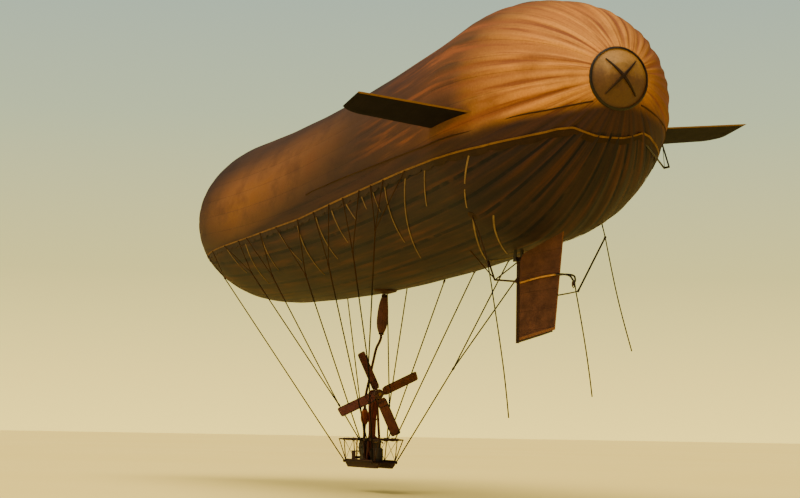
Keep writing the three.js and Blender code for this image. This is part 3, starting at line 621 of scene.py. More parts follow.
def balloon_cloth():
    finish, tree = new_finish("varnished_balloon_cloth", Roughness=0.7, Specular_IOR_Level=0.12)
    place = object_place(tree)
    x, y, _ = parts_of(tree, place)
    along_ship = maths(tree, "MULTIPLY_ADD", x, 0.5 / HALF_LENGTH, 0.5)
    uv_place = add_node(tree, "UVMap").outputs[0]
    gores = parts_of(tree, uv_place)[0]
    blotches = noise(tree, object_place(tree, (0.5, 1, 1)), 1.3, 4, 0.6)
    grain = noise(tree, place, 26, 3, 0.6)
    streak_place = add_node(tree, "Mapping", {0: uv_place, 3: (1.7, 0.22, 1)}).outputs[0]
    streaks = noise(tree, streak_place, 1.6, 3, 0.55)
    fold, over_line, over_belt = (
        add_node(tree, "Attribute", attribute_name=name).outputs["Fac"]
        for name in ("fold", "over_line", "over_belt"))

    # Along the ship the upper cloth is partly its own tone and partly painted light: golden where the key
    # light falls on the stern, darkest amidships near the fin.
    upper = ramp(tree, along_ship, [
        (0.00, "#d2933f"), (0.05, "#bf7f31"), (0.11, "#543a1c"), (0.18, "#3c2917"), (0.26, "#3a2617"),
        (0.36, "#523618"), (0.50, "#704922"), (0.70, "#845627"), (0.84, "#503418"), (1.00, "#26190d"),
    ])
    mottled = ramp(tree, blotches, [(0.30, "#9a8c7a"), (0.52, "#ffffff"), (0.75, "#ffe9c4")])
    upper = blend_colours(tree, 0.6, upper, mottled, "MULTIPLY")
    for code, strength, *edges in (
        # Painted shadow: the flank below the port fin is darkened where the fin's shadow falls.
        ("#2a2316", 0.80, (over_line, 1.9, 0.7), (x, -9.4, -6.8), (x, -2.6, -6.0)),  # the olive flank
        # Painted shade: the crown forward of the stern is darkened towards the hull's top outline.
        ("#291c11", 0.85, (over_line, 0.95, 2.1), (x, -9.8, -5.0)),  # the crown
        # Painted shade: the upper cloth just above the upper border is darkened forward of the stern.
        ("#302014", 0.70, (over_line, 0.9, -0.1), (x, -10.0, -7.5)),  # beside the border
        # Painted shade: the stern's starboard side, turned away from the light, is darkened red-brown.
        ("#5c361a", 0.85, (y, -0.1, -1.1), (x, -8.0, -10.0)),  # the stern's far side
    ):
        upper = zone(tree, upper, code, strength, *edges)
    # At the stern the red-brown streaks are stains in the cloth, and the red-brown in the valleys of the
    # folds is painted shade.
    at_stern = add_node(tree, "MapRange", {0: x, 1: -3.5, 2: -8.5}).outputs[0]
    fold_valley_shade = maths(tree, "MULTIPLY_ADD", fold, -0.18, 0.25, clamp=True)
    red = maths(tree, "MULTIPLY", ramp_value(tree, streaks, 0.48, 0.68), at_stern)
    valley_shade_at_stern = maths(tree, "MULTIPLY", fold_valley_shade, at_stern)
    red = maths(tree, "MULTIPLY_ADD", red, 0.75, valley_shade_at_stern, clamp=True)
    upper = blend_colours(tree, red, upper, srgb("#80491f"))

    lower = ramp(tree, streaks, [(0.30, "#180f0a"), (0.52, "#2b1a10"), (0.76, "#4a2815")])
    band = ramp(tree, streaks, [(0.30, "#281911"), (0.70, "#402515")])
    cloth = blend_colours(tree, ramp_value(tree, over_line, -0.14, 0.12), band, upper)
    cloth = blend_colours(tree, ramp_value(tree, over_belt, -0.01, 0.01), lower, cloth)

    in_gore = maths(tree, "PINGPONG", gores, 0.5)
    below = maths(tree, "SUBTRACT", 1.0, ramp_value(tree, over_belt, -0.02, 0.02))
    seam_width = maths(tree, "MULTIPLY_ADD", below, 0.06, 0.022)
    seam = maths(tree, "LESS_THAN", in_gore, seam_width)
    worn = ramp_value(tree, noise(tree, place, 2.4, 2), 0.28, 0.5)
    dark = maths(tree, "MULTIPLY_ADD", below, 0.65, 0.25)
    seam_dark = maths(tree, "MULTIPLY", maths(tree, "MULTIPLY", seam, worn), dark)
    cloth = blend_colours(tree, seam_dark, cloth, srgb("#0d0703"))
    cloth = darkened(tree, 0.22, cloth, grain, 0.35, "#8f8576", 0.65)
    # Painted sheen: a flat bluish tint added over the whole cloth.
    cloth = blend_colours(tree, 1.0, cloth, PAINTED_BLUISH_SHEEN, "ADD")

    stitched = maths(tree, "MULTIPLY", seam, -0.6)
    pucker_place = add_node(tree, "Mapping", {0: uv_place, 3: (1.0, 7.0, 1)}).outputs[0]
    near_seam = ramp_value(tree, in_gore, 0.2, 0.0)
    puckers = maths(tree, "MULTIPLY", noise(tree, pucker_place, 1.0, 2), near_seam)
    height = maths(tree, "ADD", maths(tree, "ADD", stitched, puckers), maths(tree, "MULTIPLY", grain, 0.25))
    return coloured(finish, cloth, height, 0.5, 0.006)


BALLOON_CLOTH = balloon_cloth()
fit(hull, "airframe", BALLOON_CLOTH)
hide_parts("envelope")
told(BALLOON_CLOTH)

# %% [markdown]
# ## The belt
# The ropes of the car end on a belt sewn round the hull. It is pale webbing, and below it hangs a band of
# doubled dark cloth whose lower edge is cut in scallops, so that it pulls on the hull without wrinkling. The
# band's dark colour is partly painted shade, the shade that falls under the belt.
# Both are strips: a flat grid laid along the belt's line, point by point, and given its thickness.

# %% Lay cloth in rows
def laid(name, rows, thickness):
    """A grid moved onto rows of points, with a UV map in metres along and across, and then made thick."""
    across, along = len(rows), len(rows[0])
    deselect()
    bpy.ops.mesh.primitive_grid_add(x_subdivisions=along - 1, y_subdivisions=across - 1, size=2)
    piece = settled(name)
    flat = points_of(piece)
    columns = np.round((flat[:, 0] + 1) / 2 * (along - 1)).astype(int)
    lines = np.round((flat[:, 1] + 1) / 2 * (across - 1)).astype(int)
    table = np.array([[tuple(p) for p in row] for row in rows], float)
    running = running_length(*table[across // 2].T)
    width = running_length(*table[:, along // 2].T)
    move_points(piece, table[lines, columns])
    layer = piece.data.uv_layers.active.data
    for loop in piece.data.loops:
        index = loop.vertex_index
        layer[loop.index].uv = (running[columns[index]], width[lines[index]])
    modified(piece, "SOLIDIFY", thickness=thickness, offset=1.0)
    smooth(piece, 40)
    return piece


def of_faces(piece, kind):
    flat = np.empty(3 * len(piece.data.polygons))
    piece.data.polygons.foreach_get(kind, flat)
    return [Vector(one) for one in flat.reshape(-1, 3)]


def from_axis(point):
    return point - Vector((point.x, 0, float(axis_height(point.x))))


def face_out(piece):
    """Turns a whole sheet over if its faces look towards the hull's axis."""
    faces = zip(of_faces(piece, "normal"), of_faces(piece, "center"))
    score = sum(normal.dot(from_axis(centre)) for normal, centre in faces)
    if score < 0:
        edited(piece, bpy.ops.mesh.flip_normals)


print("from the axis amidships:", [round(c, 2) for c in from_axis(on_hull(0.0, 0.0))])

# %% Measure the belt's line
def belt_ends():
    """The stations where the belt's line meets the middle plane at the stern and at the nose."""
    x = np.linspace(-HALF_LENGTH + 0.001, HALF_LENGTH - 0.001, 20001)
    inside = hull_radius(x) > np.abs(belt_height(x) - axis_height(x))
    return x[inside][0], x[inside][-1]


def spaced(points, step):
    """The same line with its points an even step apart."""
    table = np.array([tuple(p) for p in points])
    running = running_length(*table.T)
    count = max(int(round(running[-1] / step)), 2)
    even = np.linspace(0, running[-1], count + 1)
    return np.stack([np.interp(even, running, table[:, i]) for i in range(3)], axis=1)


def eased(count):
    """Shares from 0 to 1 that lie closest together at both ends."""
    return 0.5 - 0.5 * np.cos(np.linspace(0, math.pi, count))


def stern_station(radius):
    """The station at which the domed stern has a radius."""
    aft = line_x < STERN_LENGTH - HALF_LENGTH
    return float(np.interp(radius, line_r[aft], line_x[aft]))


# The belt's two cusps at the stern: the station aft of which it sags, and the distance from the middle.
CUSP_STATION, CUSP_Y = -11, 0.62
CUSP_RISE, CUSP_SAG = 0.05, 0.07


def sagged_at_stern(point):
    """Lowers the belt in an arc between its two cusps at the stern, and keeps it on the hull."""
    if point.x > CUSP_STATION:
        return point
    share = abs(point.y) / CUSP_Y
    rise = CUSP_RISE * max(0.0, 1 - abs(share - 1) / 0.6)
    sag = CUSP_SAG * math.cos(0.5 * math.pi * min(share, 1.0)) ** 0.8
    z = point.z + rise - sag
    return Vector((stern_station(math.hypot(point.y, z - float(axis_height(point.x)))), point.y, z))


belt_aft, belt_fore = belt_ends()
belt_stations = belt_aft + (belt_fore - belt_aft) * eased(1600)
BELT_STEP = 0.05
port_line = spaced([sagged_at_stern(on_hull(x, float(belt_height(x)))) for x in belt_stations], BELT_STEP)
starboard_line = port_line[::-1] * np.array([1, -1, 1])
belt_line = np.vstack([port_line, starboard_line[1:]])
print("belt:", round(BELT_STEP * (len(belt_line) - 1), 2), "m round the hull")

# %% Make the belt and its scallops
SCALLOPS_PER_SIDE = 44


def strip_on_hull(line, edges, lift):
    """Rows of points round the hull, each a height above the line's, lifted off the surface."""
    rows = []
    for edge in edges:
        row = []
        for i, (x, y, z) in enumerate(line):
            drop = float(edge[i]) if hasattr(edge, "__len__") else edge
            tangent = Vector(line[min(i + 1, len(line) - 1)]) - Vector(line[max(i - 1, 0)])
            normal = hull_normal(x, y, z)
            across = normal.cross(tangent).normalized()
            across = across if across.z > 0 else -across
            row.append(Vector((x, y, z)) + drop * across + lift * normal)
        rows.append(row)
    return rows


def hull_normal(x, y, z):
    """Outwards from the hull's surface."""
    step = 0.004
    slope = (float(hull_radius(x + step)) - float(hull_radius(x - step))) / (2 * step)
    radial = Vector((0, y, z - float(axis_height(x))))
    radial.normalize()
    return (radial - Vector((max(min(slope, 30), -30), 0, 0))).normalized()


share = np.linspace(0, 2 * SCALLOPS_PER_SIDE, len(belt_line))
scallop = -0.075 - 0.055 * np.abs(np.sin(math.pi * share)) ** 0.6
belt_band = laid("belt_webbing", strip_on_hull(belt_line, (-0.003, 0.009, 0.021, 0.031), 0.013), 0.013)
face_out(belt_band)
# The scalloped skirt is dark cloth, and its darkness is partly painted shade under the belt.
belt_skirt = laid("belt_scallops", strip_on_hull(belt_line, (0.0, -0.03, 0.5 * scallop, scallop), 0.0), 0.009)
face_out(belt_skirt)
tell(belt_band, belt_skirt)

# %% [markdown]
# ## Webbing and doubled cloth
# Webbing is thick cotton woven in herringbone. Its threads are about 2 mm apart on the real belt, too fine
# to see here, so the weave is drawn at 12 mm. It takes up dust and grease, so its tan colour is uneven.

# %% Webbing
def woven(name, codes, thread, wear="#3a2a18", wear_scale=4.0, on_uv=True):
    """Plain woven cloth. Its threads follow the UV map, in metres, or else run level and upright."""
    finish, tree = new_finish(name, Roughness=0.85, Sheen_Weight=0.04, Specular_IOR_Level=0.1)
    ahead, aside, up = parts_of(tree, add_node(tree, "UVMap").outputs[0] if on_uv else object_place(tree))
    ways = (ahead, aside) if on_uv else (maths(tree, "ADD", ahead, aside), up)
    threads = maths(tree, "MAXIMUM", *(bands(tree, way, thread) for way in ways))
    soiled = noise(tree, object_place(tree), wear_scale, 4, 0.6)
    cloth = ramp(tree, soiled, [(0.3, codes[0]), (0.7, codes[1])])
    worn = ramp_value(tree, noise(tree, object_place(tree), 1.7 * wear_scale, 3, 0.7), 0.55, 0.8)
    cloth = blend_colours(tree, maths(tree, "MULTIPLY", worn, 0.55), cloth, srgb(wear))
    cloth = darkened(tree, 0.35, cloth, threads, 0.0, "#6f6a60", 0.4)
    return coloured(finish, cloth, threads, 0.4, 0.003)


PALE_WEBBING = woven("herringbone_cotton_webbing", ("#54391b", "#7d5a2c"), 0.012)
TAPE_WEBBING = woven("narrow_cotton_tape", ("#57452f", "#836b47"), 0.012)
# The skirt's dark canvas is partly painted shade under the belt.
SKIRT_CLOTH_AND_SHADE = woven("dark_skirt_canvas_and_painted_shade", ("#22160d", "#302013"), 0.014, wear="#160e08")
fit(belt_band, "airframe", PALE_WEBBING)
fit(belt_skirt, "airframe", SKIRT_CLOTH_AND_SHADE)
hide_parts("girdle_belt")
told(PALE_WEBBING, TAPE_WEBBING, SKIRT_CLOTH_AND_SHADE)

# %% [markdown]
# ## Tapes on the flank
# Below the belt, tapes of the same webbing are sewn to the hull in line with the ropes, to spread their
# pull. They slant aft and narrow towards their feet, and a few longer ones lie lower on the flank. Each tape
# is a strip that follows the hull between two points.

# %% Sew the tapes
def hull_point(x, turn):
    """The hull's point at a station and at a turn in degrees above the horizontal, to port."""
    radius = float(hull_radius(x))
    across, above = radius * math.cos(math.radians(turn)), radius * math.sin(math.radians(turn))
    return Vector((x, across, above + float(axis_height(x))))


TAPE_STEPS = 18


def tape(name, start, end, widths):
    """A strip on the hull between two places of station and turn. Widths are those of its head and foot."""
    (x, turn), (end_x, end_turn) = start, end
    shares = np.linspace(0, 1, TAPE_STEPS).tolist()
    places = [hull_point(x + (end_x - x) * t, turn + (end_turn - turn) * t) for t in shares]
    rows = [[], [], []]
    for i, (point, share) in enumerate(zip(places, shares)):
        width = widths[0] + (widths[1] - widths[0]) * share
        tangent = places[min(i + 1, TAPE_STEPS - 1)] - places[max(i - 1, 0)]
        normal = hull_normal(*point)
        across = normal.cross(tangent).normalized()
        for row, shift in zip(rows, (-0.5, 0, 0.5)):
            row.append(point + shift * width * across + 0.002 * normal)
    strip = laid(name, rows, 0.006)
    face_out(strip)
    return strip


# Each tape's two ends, as station and turn. The first ends lie on the belt, apart from the last two tapes.
TAPE_ENDS = [
    ((6.16, -22.4), (5.63, -43.4)), ((4.22, -21.1), (4.68, -55.4)), ((2.73, -20.6), (2.88, -45.3)),
    ((1.29, -19.4), (0.84, -43.6)), ((-0.27, -20.0), (0.29, -56.8)), ((-1.66, -19.6), (-1.42, -48.4)),
    ((-2.75, -19.2), (-2.71, -40.8)), ((-3.67, -18.6), (-3.88, -30.6)), ((-4.69, -18.8), (-4.69, -27.8)),
    ((-5.38, -18.8), (-5.29, -32.2)), ((-6.09, -19.2), (-5.28, -52.7)), ((-7.27, -19.6), (-5.04, -65.9)),
    ((-8.20, -21.4), (-7.41, -39.4)), ((-9.73, -25.8), (-8.74, -49.1)), ((-8.67, -54.0), (-6.30, -90.5)),
    ((-9.15, -59.3), (-7.33, -89.5)),
]
TAPE_WIDTHS, STERN_TAPE_WIDTHS, STERN_TAPES_FROM = (0.062, 0.022), (0.036, 0.020), -5.0
tapes = []
for number, (start, end) in enumerate(TAPE_ENDS, 1):
    widths = STERN_TAPE_WIDTHS if start[0] < STERN_TAPES_FROM else TAPE_WIDTHS
    tapes.append(tape(f"flank_tape_{number}", start, end, widths))
for one in tapes:
    fit(one, "airframe", TAPE_WEBBING)
    other = mirrored(one, one.name + "_starboard")
    fit(other, "airframe", TAPE_WEBBING)
print("tapes:", 2 * len(tapes))

# %% [markdown]
# ## The dark cord over the belt
# A tarred cord runs along each flank above the belt and rises to the valve. It lies on the cloth, so it is
# a thin tube along points of the hull.

# %% Lay the flank cord
CORD_RADIUS = 0.014
CORD_AFT, CORD_FORE = -11.78, -1.3
cord_places = [
    on_hull(x, float(upper_line_height(x)), 0.3 * CORD_RADIUS)
    for x in np.linspace(CORD_AFT, CORD_FORE, 150).tolist()
]
flank_cord_port = tube("flank_cord_port", [Vector(p) for p in spaced(cord_places, 0.12)], CORD_RADIUS, 6)
flank_cord_starboard = mirrored(flank_cord_port, "flank_cord_starboard")
tell(flank_cord_port, flank_cord_starboard)

# %% [markdown]
# ## The fins
# Each fin is a frame of ash with cloth stretched over both sides and doped tight. The cloth sinks a little
# between the ribs, and its trailing edge is bound with pale tape. A fin is a loft: closed rings from the
# root to the tip, each a thin profile from the leading edge to the trailing edge. The root runs into the
# hull, and the tip's leading corner is rounded.

# %% Stretch cloth over a frame
def skin_ring(lead, trail, shares, thickness, normal):
    """A thin closed profile between two points: one side forth, the other back. Thickness is a list."""
    forth = [lead.lerp(trail, s) + 0.5 * float(t) * normal for s, t in zip(shares, thickness)]
    back = [lead.lerp(trail, s) - 0.5 * float(t) * normal for s, t in zip(shares, thickness)]
    return forth + back[::-1]


def profile_thickness(full, count):
    """Rounded at the leading edge, full over the front third and thin at the trailing edge."""
    nose = np.sqrt(np.clip(eased(count) / 0.06, 0.04, 1))
    tail = 1 - 0.78 * np.clip((eased(count) - 0.3) / 0.7, 0, 1)
    return full * nose * tail


def sunk_between_ribs(place, bays, depth):
    return 1 - depth * abs(math.sin(math.pi * bays * place)) ** 0.6


RIB_DEPTH, PROFILE_POINTS = 0.22, 13
print("a profile 1 thick:", profile_thickness(1, PROFILE_POINTS).round(2).tolist())

# %% Make the fins
FIN_LEAD = ((-8.78, 1.9), (-8.48, 3.73))
FIN_TRAIL = ((-10.04, 1.6), (-9.57, 3.70))
FIN_ROOT, FIN_TIP = 1.78, 3.715
FIN_THICKNESS = 0.036
FIN_NORMAL = Vector((0, -0.17, 1)).normalized()
FIN_BAYS = 5


def edge_at(edge, y):
    (x0, y0), (x1, y1) = edge
    return x0 + (x1 - x0) * (y - y0) / (y1 - y0)


def fin_height(x, y):
    return 0.048 + 0.172 * (y - 2.1) + 0.125 * (FIN_LEAD[0][0] - x)


fin_rings = []
for share in np.linspace(0, 1, 6 * FIN_BAYS + 1):
    y = FIN_ROOT + (FIN_TIP - FIN_ROOT) * share
    rounding = 0.22 * max(0.0, (y - 3.3) / (FIN_TIP - 3.3)) ** 2.4
    xs = (edge_at(FIN_LEAD, y) - rounding, edge_at(FIN_TRAIL, y))
    ends = [Vector((x, y, fin_height(x, y))) for x in xs]
    closing = min(1.0, 0.35 + (FIN_TIP - y) / 0.02)
    full = sunk_between_ribs(share, FIN_BAYS, RIB_DEPTH) * closing
    thickness = profile_thickness(FIN_THICKNESS, PROFILE_POINTS) * full
    fin_rings.append(skin_ring(*ends, eased(PROFILE_POINTS), thickness, FIN_NORMAL))
fin_port = lofted("fin_port_cloth", fin_rings, 40)
fin_starboard = mirrored(fin_port, "fin_starboard_cloth")
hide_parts("fin_port")
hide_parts("fin_starboard")
tell(fin_port, fin_starboard)

# %% [markdown]
# ## The rudder
# The rudder is made in the same way, with its ribs level and its rings upright, from the post to the
# trailing edge. A dark spar lies along its foot, and a short board joins the cloth to the post above and
# below the boom's eye.

# %% Make the rudder
RUDDER_TOP = ((-9.75, -1.757), (-8.06, -1.998), (-7.875, -2.14))
RUDDER_LEAD_X = -7.875
RUDDER_FOOT = ((-7.76, -3.58), (-9.42, -3.44))
RUDDER_BAYS, RUDDER_RINGS, RUDDER_THICKNESS = 5, 27, 0.04


def rudder_foot(x):
    (x0, z0), (x1, z1) = RUDDER_FOOT
    return z0 + (z1 - z0) * (x - x0) / (x1 - x0)


top_x, top_z = zip(*RUDDER_TOP)
head_reach, foot_reach = (trail_x - RUDDER_LEAD_X for trail_x in (RUDDER_TOP[0][0], RUDDER_FOOT[1][0]))
down = np.linspace(0, 1, 6 * RUDDER_BAYS + 1)
rudder_rings = []
for share, full in zip(eased(RUDDER_RINGS), profile_thickness(RUDDER_THICKNESS, RUDDER_RINGS)):
    head_x, foot_x = RUDDER_LEAD_X + share * head_reach, RUDDER_LEAD_X + share * foot_reach
    head = Vector((head_x, 0, float(np.interp(head_x, top_x, top_z))))
    foot = Vector((foot_x, 0, rudder_foot(foot_x)))
    thickness = [full * sunk_between_ribs(d, RUDDER_BAYS, RIB_DEPTH) for d in down]
    rudder_rings.append(skin_ring(head, foot, down, thickness, ACROSS))
rudder_cloth = lofted("rudder_cloth", rudder_rings, 40)
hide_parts("rudder_panel")
tell(rudder_cloth)

# %% Add the rudder's spar and boards
def board(name, low, high, ease=0.004):
    """A board between two corners, with its edges eased."""
    deselect()
    bpy.ops.mesh.primitive_cube_add(size=1, location=[(a + b) / 2 for a, b in zip(low, high)])
    bpy.context.active_object.scale = [b - a for a, b in zip(low, high)]
    piece = settled(name)
    modified(piece, "BEVEL", width=ease, segments=2, limit_method="NONE")
    smooth(piece, 30)
    return piece


spar_head, spar_end = (Vector((x, 0, rudder_foot(x) - 0.012)) for x in (-7.835, -9.31))
spar_line = [spar_head, spar_head.lerp(spar_end, 0.7), spar_end]
rudder_spar = tube("rudder_foot_spar", spar_line, [0.019, 0.018, 0.012], 12)
rudder_boards = joined("rudder_boards", [
    board("board", (-7.885, -0.015, low), (-7.834, 0.015, high))
    for low, high in ((-3.57, -2.545), (-2.415, -2.15))
])
tell(rudder_spar, rudder_boards)

# %% [markdown]
# ## Stays of the rudder
# A short horn behind the rudder ends in a stay that goes up to the starboard trail rope, where it is tied.
# It is taut and crosses the rudder's hinge, so it is left on neither body. The bow's loop carries
# a wooden block, and a small iron bracket stands off the hull below the starboard fin.

# %% Rig the rudder
HORN_TIP = Vector((-10.338, 0, -2.838))
STAY_HEAD = Vector((-8.815, -1.256, -1.700))
horn_line = [
    Vector((-9.50, 0, -2.850)), Vector((-9.95, 0, -2.846)), HORN_TIP, HORN_TIP + Vector((-0.03, 0, 0.01)),
]
horn = tube("rudder_horn", horn_line, [0.013, 0.012, 0.011, 0.006])
stay_line = [HORN_TIP.lerp(STAY_HEAD, t) for t in np.linspace(0, 1, 25)]
rudder_stay = tube("rudder_stay", stay_line, [0.022] + [0.017] * 23 + [0.024])


def flat_ball(name, middle, reach, sides=16):
    """A turned wooden form: a ball with three half-sizes."""
    deselect()
    bpy.ops.mesh.primitive_uv_sphere_add(segments=sides, ring_count=sides // 2, radius=1, location=middle)
    bpy.context.active_object.scale = reach
    piece = settled(name)
    smooth(piece, 60)
    return piece


BLOCK = Vector((-10.165, 0, -2.70))
strop_line = [
    BLOCK + Vector((0.045 * math.sin(a), 0, 0.066 * math.cos(a))) for a in np.linspace(0, 2 * math.pi, 9)
]
block_pieces = [flat_ball("cheek", BLOCK + side * 0.018 * ACROSS, (0.034, 0.011, 0.055)) for side in (-1, 1)]
block_pieces += [
    flat_ball("sheave", BLOCK, (0.026, 0.012, 0.026)),
    tube("strop", through(strop_line, 3), 0.007, 6),
]
rudder_block = joined("rudder_block", block_pieces)

BRACKET_ROOT, BRACKET_KNEE, BRACKET_TOE, BRACKET_TOP, BRACE_FOOT, BRACE_TOP = (Vector(place) for place in (
    (-11.30, -0.715, -0.345), (-10.384, -1.60, -0.632), (-10.565, -1.60, -0.637), (-9.78, -1.89, -0.125),
    (-10.40, -1.60, -0.620), (-9.98, -1.79, -0.200)))
fin_bracket = joined("stern_bracket", [
    tube("strut", [start, start.lerp(end, 0.5), end], radius)
    for start, end, radius in (
        (BRACKET_ROOT, BRACKET_KNEE, 0.017),
        (BRACKET_KNEE, BRACKET_TOE, 0.019),
        (BRACKET_TOE, BRACKET_TOP, 0.015),
        (BRACE_FOOT, BRACE_TOP, 0.006),
    )
])
tell(horn, rudder_stay, rudder_block, fin_bracket)

# %% [markdown]
# ## The valve
# The gas valve at the stern is a round plate in a ring. A cross of thin tapered wood stands on it, and
# sixteen bolts hold the ring. Both follow the domed stern, so their points are laid on the hull's surface.

# %% Dress the valve
def on_stern(radius, angle, lift):
    """A point of the domed stern, at a radius from its middle and lifted off the cloth."""
    x = stern_station(radius)
    return Vector((x - lift, radius * math.cos(angle), radius * math.sin(angle) + float(axis_height(x))))


ARM_REACH, VALVE_BOLTS = 0.40, 16
arms = []
for number, angle in enumerate((math.radians(47), math.radians(133))):
    rings = []
    for reach in np.linspace(-ARM_REACH, ARM_REACH, 21).tolist():
        facing_angle = angle if reach >= 0 else angle + math.pi
        middle = on_stern(max(abs(reach), 0.001), facing_angle, 0.0)
        across = Vector((0, -math.sin(angle), math.cos(angle)))
        half_width = 0.007 + 0.020 * (1 - abs(reach) / 0.42)
        lift = 0.024 + 0.004 * number
        corners = [(-1, 0.0), (-0.8, lift), (0.8, lift), (1, 0.0)]
        rings.append([middle + side * half_width * across - Vector((out, 0, 0)) for side, out in corners])
    arms.append(lofted(f"arm_{number}", rings, 30))
valve_arms = joined("valve_cross_arms", arms)
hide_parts("valve_cross")


def bolt(name, middle, axis, radius, height, sides=6):
    """A head with so many sides on a washer."""
    steps = ((0, 1.45), (0.15, 1.45), (0.151, 1), (0.85, 1), (1, 0.8))
    sizes = [(share * height, width * radius) for share, width in steps]
    return turned(name, middle, axis.normalized(), sizes, sides, 25)


valve_bolts = joined("valve_bolts", [
    bolt("bolt", on_stern(VALVE_EDGE + 0.025, angle, 0.020), -AHEAD, 0.007, 0.012)
    for angle in turns_of(VALVE_BOLTS)
])
tell(valve_arms, valve_bolts)

# %% [markdown]
# ## The air sleeve
# Air from the blower reaches the hull's inner air bag through a canvas sleeve. It bulges between its
# lashings and falls into long folds. It is a loft whose rings swell and shrink round the turn, and the
# lashings are turns of thin cord. The canvas bulge above the blower is made in the same way.

# %% Make the sleeve and the bag
DUCT_TOP = Vector((-0.4, 0, -2.226))
DUCT_FOOT = Vector((-0.215, 0, -3.110))
SAC_TOP = Vector((0.368, 0.150, -4.740))
SAC_FOOT = Vector((0.398, 0.134, -5.090))


def canvas_bulge(name, top, foot, shares, radii, folds, depth, sides=48, steps=34):
    """A canvas tube that bulges along a line. Its folds are deepest where it narrows."""
    ways = square_to((foot - top).normalized())
    rings = []
    for share in np.linspace(0, 1, steps):
        radius = float(np.interp(share, shares, radii))
        tight = 1.3 - radius / max(radii)
        ring = []
        for a in turns_of(sides):
            ripples = [math.cos(n * a + 2.1 * n + 1.4 * math.sin(4 * share + n)) for n in folds]
            reach = radius * (1 + depth * tight * sum(ripples) / len(folds))
            ring.append(round_place(top.lerp(foot, share), reach, a, *ways))
        rings.append(ring)
    return lofted(name, rings, 60)


sleeve = canvas_bulge(
    "air_sleeve_canvas", DUCT_TOP, DUCT_FOOT,
    [0, 0.05, 0.12, 0.25, 0.42, 0.58, 0.72, 0.84, 0.93, 0.97, 1],
    [0.058, 0.054, 0.076, 0.100, 0.116, 0.122, 0.119, 0.099, 0.068, 0.050, 0.047], (5, 8, 11), 0.16)
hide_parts("air_sleeve")
bag = canvas_bulge(
    "blower_bag", SAC_TOP - 0.002 * UP, SAC_FOOT + 0.002 * UP,
    [0, 0.06, 0.25, 0.5, 0.62, 0.8, 0.95, 1],
    [0.036, 0.050, 0.078, 0.094, 0.094, 0.084, 0.052, 0.036], (4, 7, 9), 0.08, 32, 22)


TURN_PITCH = 2.1  # from one turn of a lashing to the next, in radii of its cord
LASHING_SIDES = 20


def lashing(name, middle, axis, radius, turns, cord):
    """A few turns of cord round a bar or a sleeve: one open helix."""
    axis = axis.normalized()
    ways = square_to(axis)
    line = []
    for t in np.linspace(0, turns, LASHING_SIDES * turns + 1).tolist():
        along = (t - turns / 2) * TURN_PITCH * cord
        line.append(round_place(middle + along * axis, radius + cord, 2 * math.pi * t, *ways))
    return tube(name, line, cord, 6)


sleeve_lashings = joined("sleeve_lashings", [
    lashing("lashing", top.lerp(foot, share), foot - top, radius, turns, cord)
    for top, foot, share, radius, turns, cord in (
        (DUCT_TOP, DUCT_FOOT, 0.045, 0.055, 4, 0.006),
        (DUCT_TOP, DUCT_FOOT, 0.96, 0.050, 4, 0.006),
        (SAC_TOP, SAC_FOOT, 0.02, 0.040, 3, 0.004),
        (SAC_TOP, SAC_FOOT, 0.98, 0.040, 3, 0.004),
    )
])
tell(sleeve, bag, sleeve_lashings)

# %% [markdown]
# ## The car's floor and bench
# The floor is made of narrow ash boards with open joints, held by a nail at each bearer. The bench is two
# boards on plank legs with a stretcher between them. A board is a cube with eased edges.

# %% Lay the floor
FLOOR_LOW, FLOOR_HIGH = (Vector(corner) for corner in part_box("car_floor"))
FLOOR_BOARDS = 8
BOARD_GAP = 0.003
pitch = (FLOOR_HIGH.y - FLOOR_LOW.y) / FLOOR_BOARDS
floor_boards = joined("car_floor_boards", [
    board("board", (FLOOR_LOW.x, FLOOR_LOW.y + i * pitch + BOARD_GAP / 2, FLOOR_LOW.z),
          (FLOOR_HIGH.x, FLOOR_LOW.y + (i + 1) * pitch - BOARD_GAP / 2, FLOOR_HIGH.z), 0.003)
    for i in range(FLOOR_BOARDS)
])
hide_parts("car_floor")
nails = joined("floor_nails", [
    bolt("nail", Vector((x, FLOOR_LOW.y + (i + 0.5) * pitch, FLOOR_HIGH.z)), UP, 0.004, 0.0025)
    for i in range(FLOOR_BOARDS) for x in np.linspace(FLOOR_LOW.x + 0.04, FLOOR_HIGH.x - 0.04, 7)
])
tell(floor_boards, nails)

# %% Build the bench
BENCH_X, BENCH_HALF = 1.04, 0.13
LEG_FOOT, SEAT_UNDERSIDE, SEAT_TOP = -5.8997, -5.702, -5.678


def bench_board(x_low, x_high, y_low, y_high, z_low, z_high, ease):
    return board("board", (BENCH_X + x_low, y_low, z_low), (BENCH_X + x_high, y_high, z_high), ease)


seat_boards = [
    bench_board(low, high, -0.19, 0.19, SEAT_UNDERSIDE, SEAT_TOP, 0.005)
    for low, high in ((-BENCH_HALF, -0.046), (-0.042, 0.042), (0.046, BENCH_HALF))
]
bench_legs = [
    bench_board(-0.11, 0.11, y - 0.012, y + 0.012, LEG_FOOT, SEAT_UNDERSIDE, 0.004) for y in (-0.17, 0.17)
]
stretcher = bench_board(-0.012, 0.012, -0.158, 0.158, -5.86, -5.80, 0.004)
bench = joined("bench_boards", seat_boards + bench_legs + [stretcher])
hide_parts("bench")
tell(bench)

# %% [markdown]
# ## The engine
# Four air-cooled cylinders stand on a cast crankcase. The frame holds a plain block for it. Here the
# crankcase gets rounded edges, a foot flange and bearer bolts, and each cylinder is turned with its cooling
# fins. Above them run the inlet pipe on the port side and the exhaust on the starboard side.

# %% Build the engine
CYLINDER_XS = (-0.23, -0.11, 0.01, 0.13)
CYLINDER_FOOT, CYLINDER_HEAD = -5.615, -5.442
BARREL, FIN_EDGE, COOLING_FINS = 0.036, 0.050, 9
FLANGE_TOP = -5.878


